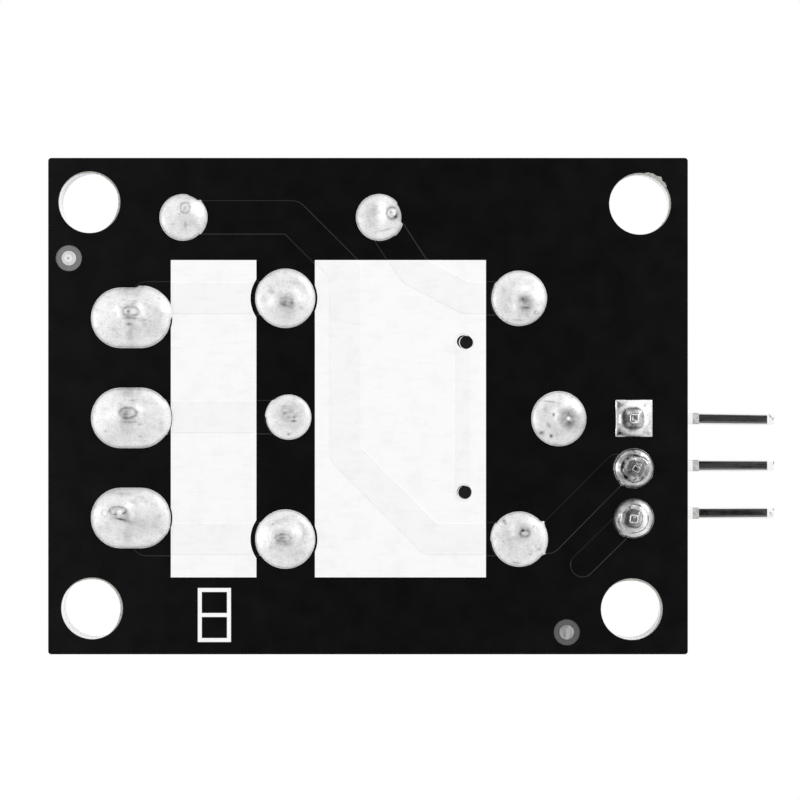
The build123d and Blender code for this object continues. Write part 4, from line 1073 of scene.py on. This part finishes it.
def headerPins():
    line = pinPath()
    base = bpy.data.meshes.new("pinLine")
    edges = [(k, k + 1) for k in range(len(line) - 1)]
    base.from_pydata([(x * mm, 0, z * mm) for x, z, share in line], edges, [])
    share = base.attributes.new("share", "FLOAT", "POINT")
    share.data.foreach_set("value", [share for x, z, share in line])
    source = placed("pinLine", base)
    material = pinFinish()
    mesh = plainMesh(source, *pinTree(material))
    bpy.data.objects.remove(source)
    shape = bmesh.new()
    shape.from_mesh(mesh)
    # side marks the half of each pin that gets the painted grey edge
    side = shape.verts.layers.float.new("side")
    for vert in shape.verts:
        y = vert.co.y / mm
        row = round((y - pinYs[0]) / (pinYs[1] - pinYs[0]))
        vert[side] = 1 if y > pinYs[row] else 0
        vert.co.y += max(0, vert.co.x - headerX) * tan(radians(pinLook["tilts"][row]))
    bmesh.ops.recalc_face_normals(shape, faces=shape.faces)
    shape.to_mesh(mesh)
    shape.free()
    piece = pieceFrom("headerPins", mesh, material, 5)
    return settle(piece, "board", "tinned_brass", "header_pin_1", "header_pin_2", "header_pin_3")


pins = headerPins()
print("header pins made:", len(pins.data.polygons), "faces")

# Diode: a turned body with rolled shoulders
diodeLook = {"roll": 0.34, "rings": 5, "turns": 64, "bandRoll": 0.012}


def turnedAlongX(name, profile, middle, material):
    shape = bmesh.new()
    turns = diodeLook["turns"]
    rings = []
    for x, r in profile:
        angles = [2 * pi * i / turns for i in range(turns)]
        rings.append([shape.verts.new((x, middle.y + r * cos(a), middle.z + r * sin(a)))
                      for a in angles])
    skin(shape, rings)
    shape.faces.new(rings[0])
    shape.faces.new(rings[-1])
    return pieceFrom(name, meshFrom(shape, name), material, 35)


def diode():
    low, high = spanOf("diode_body")
    middle = (low + high) / 2
    radius = (high.z - low.z) / 2
    roll = diodeLook["roll"] * mm
    steps = diodeLook["rings"]
    profile = []
    for k in range(steps + 1):
        a = pi / 2 * k / steps
        profile.append((low.x + roll * (1 - cos(a)), radius - roll * (1 - sin(a))))
    profile += [(low.x + high.x - x, r) for x, r in reversed(profile)]
    body = turnedAlongX("diodeBody", profile, middle, epoxyBlack)
    settle(body, "board", "epoxy_black", "diode_body")
    bandLow, bandHigh = spanOf("diode_band")
    outer = (bandHigh.z - bandLow.z) / 2
    edge = diodeLook["bandRoll"] * mm
    ring = [(bandLow.x, radius - edge), (bandLow.x, outer - edge), (bandLow.x + edge, outer),
            (bandHigh.x - edge, outer), (bandHigh.x, outer - edge), (bandHigh.x, radius - edge)]
    band = turnedAlongX("diodeBand", ring, middle, bandMaterial)
    settle(band, "board", "band_grey", "diode_band")


diode()
print("diode made")

# Stage: a pale floor that the view from below looks through, and a dark card round that camera
stageLook = {
    "floorReach": 400,
    "floorColour": 0.86,
    "cardDistance": 150,
    "cardMiddle": 4,
    "cardHalf": (56, 80),
    "cardEdge": 0.2,
    "cardColour": (0.006, 0.006, 0.006),
}


def flatDisc(name, radius, height, turns=96):
    mesh = bpy.data.meshes.new(name)
    angles = [2 * pi * i / turns for i in range(turns)]
    points = [(radius * cos(a), radius * sin(a), height) for a in angles]
    mesh.from_pydata(points, [], [list(range(turns))])
    return placed(name, mesh)


# One shader shown where the factor is 0, another where it is 1
def showEither(tree, factor, first, second):
    either = addNode(tree, "ShaderNodeMixShader", None, factor, first, second)
    output = tree.nodes.get("Material Output") or tree.nodes.new("ShaderNodeOutputMaterial")
    tree.links.new(either.outputs["Shader"], output.inputs["Surface"])


def floor():
    disc = flatDisc("floor", stageLook["floorReach"] * mm, cadLow.z)
    finish = Finish("floorPaint")
    tone = stageLook["floorColour"]
    paint = finish.ramp(finish.noise(0.02, 2), [(0.3, tone * 0.99), (0.7, tone)])
    finish.set(Base_Color=paint, Roughness=0.9, Specular_IOR_Level=0.1)
    side = finish.tree.nodes.new("ShaderNodeNewGeometry").outputs["Backfacing"]
    clear = finish.tree.nodes.new("ShaderNodeBsdfTransparent").outputs["BSDF"]
    showEither(finish.tree, side, finish.shader.outputs["BSDF"], clear)
    disc.data.materials.append(finish.material)
    disc.visible_diffuse = False
    disc.visible_glossy = False
    disc.visible_transmission = False
    disc.visible_shadow = False


def darkCard():
    halfX, halfY = stageLook["cardHalf"]
    edge = 1 + stageLook["cardEdge"]
    disc = flatDisc("darkCard", edge * mm, 0)
    for vert in disc.data.vertices:
        vert.co.x = vert.co.x * halfX + stageLook["cardMiddle"] * mm
        vert.co.y *= halfY
        vert.co.z = -stageLook["cardDistance"] * mm
    material = bpy.data.materials.new("darkCard")
    material.use_nodes = True
    tree = material.node_tree
    tree.nodes.clear()
    coords = tree.nodes.new("ShaderNodeTexCoord")
    flat = addNode(tree, "ShaderNodeMapping", {"vector_type": "TEXTURE"}, Vector=coords.outputs["Object"],
                   Location=(stageLook["cardMiddle"] * mm, 0, 0), Scale=(halfX * mm, halfY * mm, 1e6))
    length = addNode(tree, "ShaderNodeVectorMath", {"operation": "LENGTH"}, Vector=flat.outputs["Vector"])
    fade = addNode(tree, "ShaderNodeMapRange", {"interpolation_type": "SMOOTHSTEP"},
                   Value=length.outputs["Value"], From_Min=1 - stageLook["cardEdge"], From_Max=edge)
    black = addNode(tree, "ShaderNodeEmission", Color=stageLook["cardColour"])
    clear = tree.nodes.new("ShaderNodeBsdfTransparent")
    showEither(tree, fade.outputs["Result"], black.outputs["Emission"], clear.outputs["BSDF"])
    disc.data.materials.append(material)
    disc.visible_camera = False
    disc.visible_diffuse = False
    disc.visible_transmission = False
    disc.visible_shadow = False


# World: white to the eye and to reflections, a softer white as light
worldLook = {"light": 0.79}


def studioWorld():
    world = bpy.data.worlds.new("studio")
    bpy.context.scene.world = world
    world.use_nodes = True
    tree = world.node_tree
    tree.nodes.clear()
    rays = tree.nodes.new("ShaderNodeLightPath").outputs
    shown = rays["Is Camera Ray"]
    for ray in ("Is Glossy Ray", "Is Transmission Ray"):
        either = addNode(tree, "ShaderNodeMath", {"operation": "MAXIMUM"}, shown, rays[ray])
        shown = either.outputs["Value"]
    strength = addNode(tree, "ShaderNodeMapRange", Value=shown, To_Min=worldLook["light"], To_Max=1)
    back = addNode(tree, "ShaderNodeBackground", Color=(1, 1, 1), Strength=strength.outputs["Result"])
    addNode(tree, "ShaderNodeOutputWorld", Surface=back.outputs["Background"])


# Lamps: place in mm, size in mm and the share of full white that each one gives at the part
lamps = {
    "belowKey": {"at": (150, -110, -105), "size": 70, "share": 0.26},
    "belowLeft": {"at": (-180, 0, -80), "size": 90, "share": 0.14},
    "aboveKey": {"at": (-110, -120, 190), "size": 130, "share": 0.34},
    "aboveFill": {"at": (150, 60, 120), "size": 120, "share": 0.10},
}


def placeLamps():
    target = (cadLow + cadHigh) / 2
    for name, look in lamps.items():
        data = bpy.data.lights.new(name, "AREA")
        data.shape = "DISK"
        data.size = look["size"] * mm
        place = Vector(look["at"]) * mm
        gap = (place - target).length
        data.energy = look["share"] * pi ** 2 * gap ** 2
        lamp = placed(name, data)
        lamp.location = place
        lamp.rotation_euler = (target - place).to_track_quat("-Z", "Y").to_euler()


# Camera: straight at the solder side, as the photograph was taken
cameraLook = {"distance": 120.0, "widthShown": 40.609, "at": (1.874, -0.290), "sensor": 36.0}


def placeCamera():
    data = bpy.data.cameras.new("benchCamera")
    data.sensor_width = cameraLook["sensor"]
    data.lens = cameraLook["sensor"] * cameraLook["distance"] / cameraLook["widthShown"]
    data.clip_start = 1 * mm
    data.clip_end = 5
    camera = placed("benchCamera", data)
    camera.location = Vector((*cameraLook["at"], -cameraLook["distance"])) * mm
    camera.rotation_euler = (pi, 0, 0)
    bpy.context.scene.camera = camera


floor()
darkCard()
studioWorld()
placeLamps()
placeCamera()
bpy.context.scene.view_settings.view_transform = "Standard"
print("stage, world, lamps and camera set")
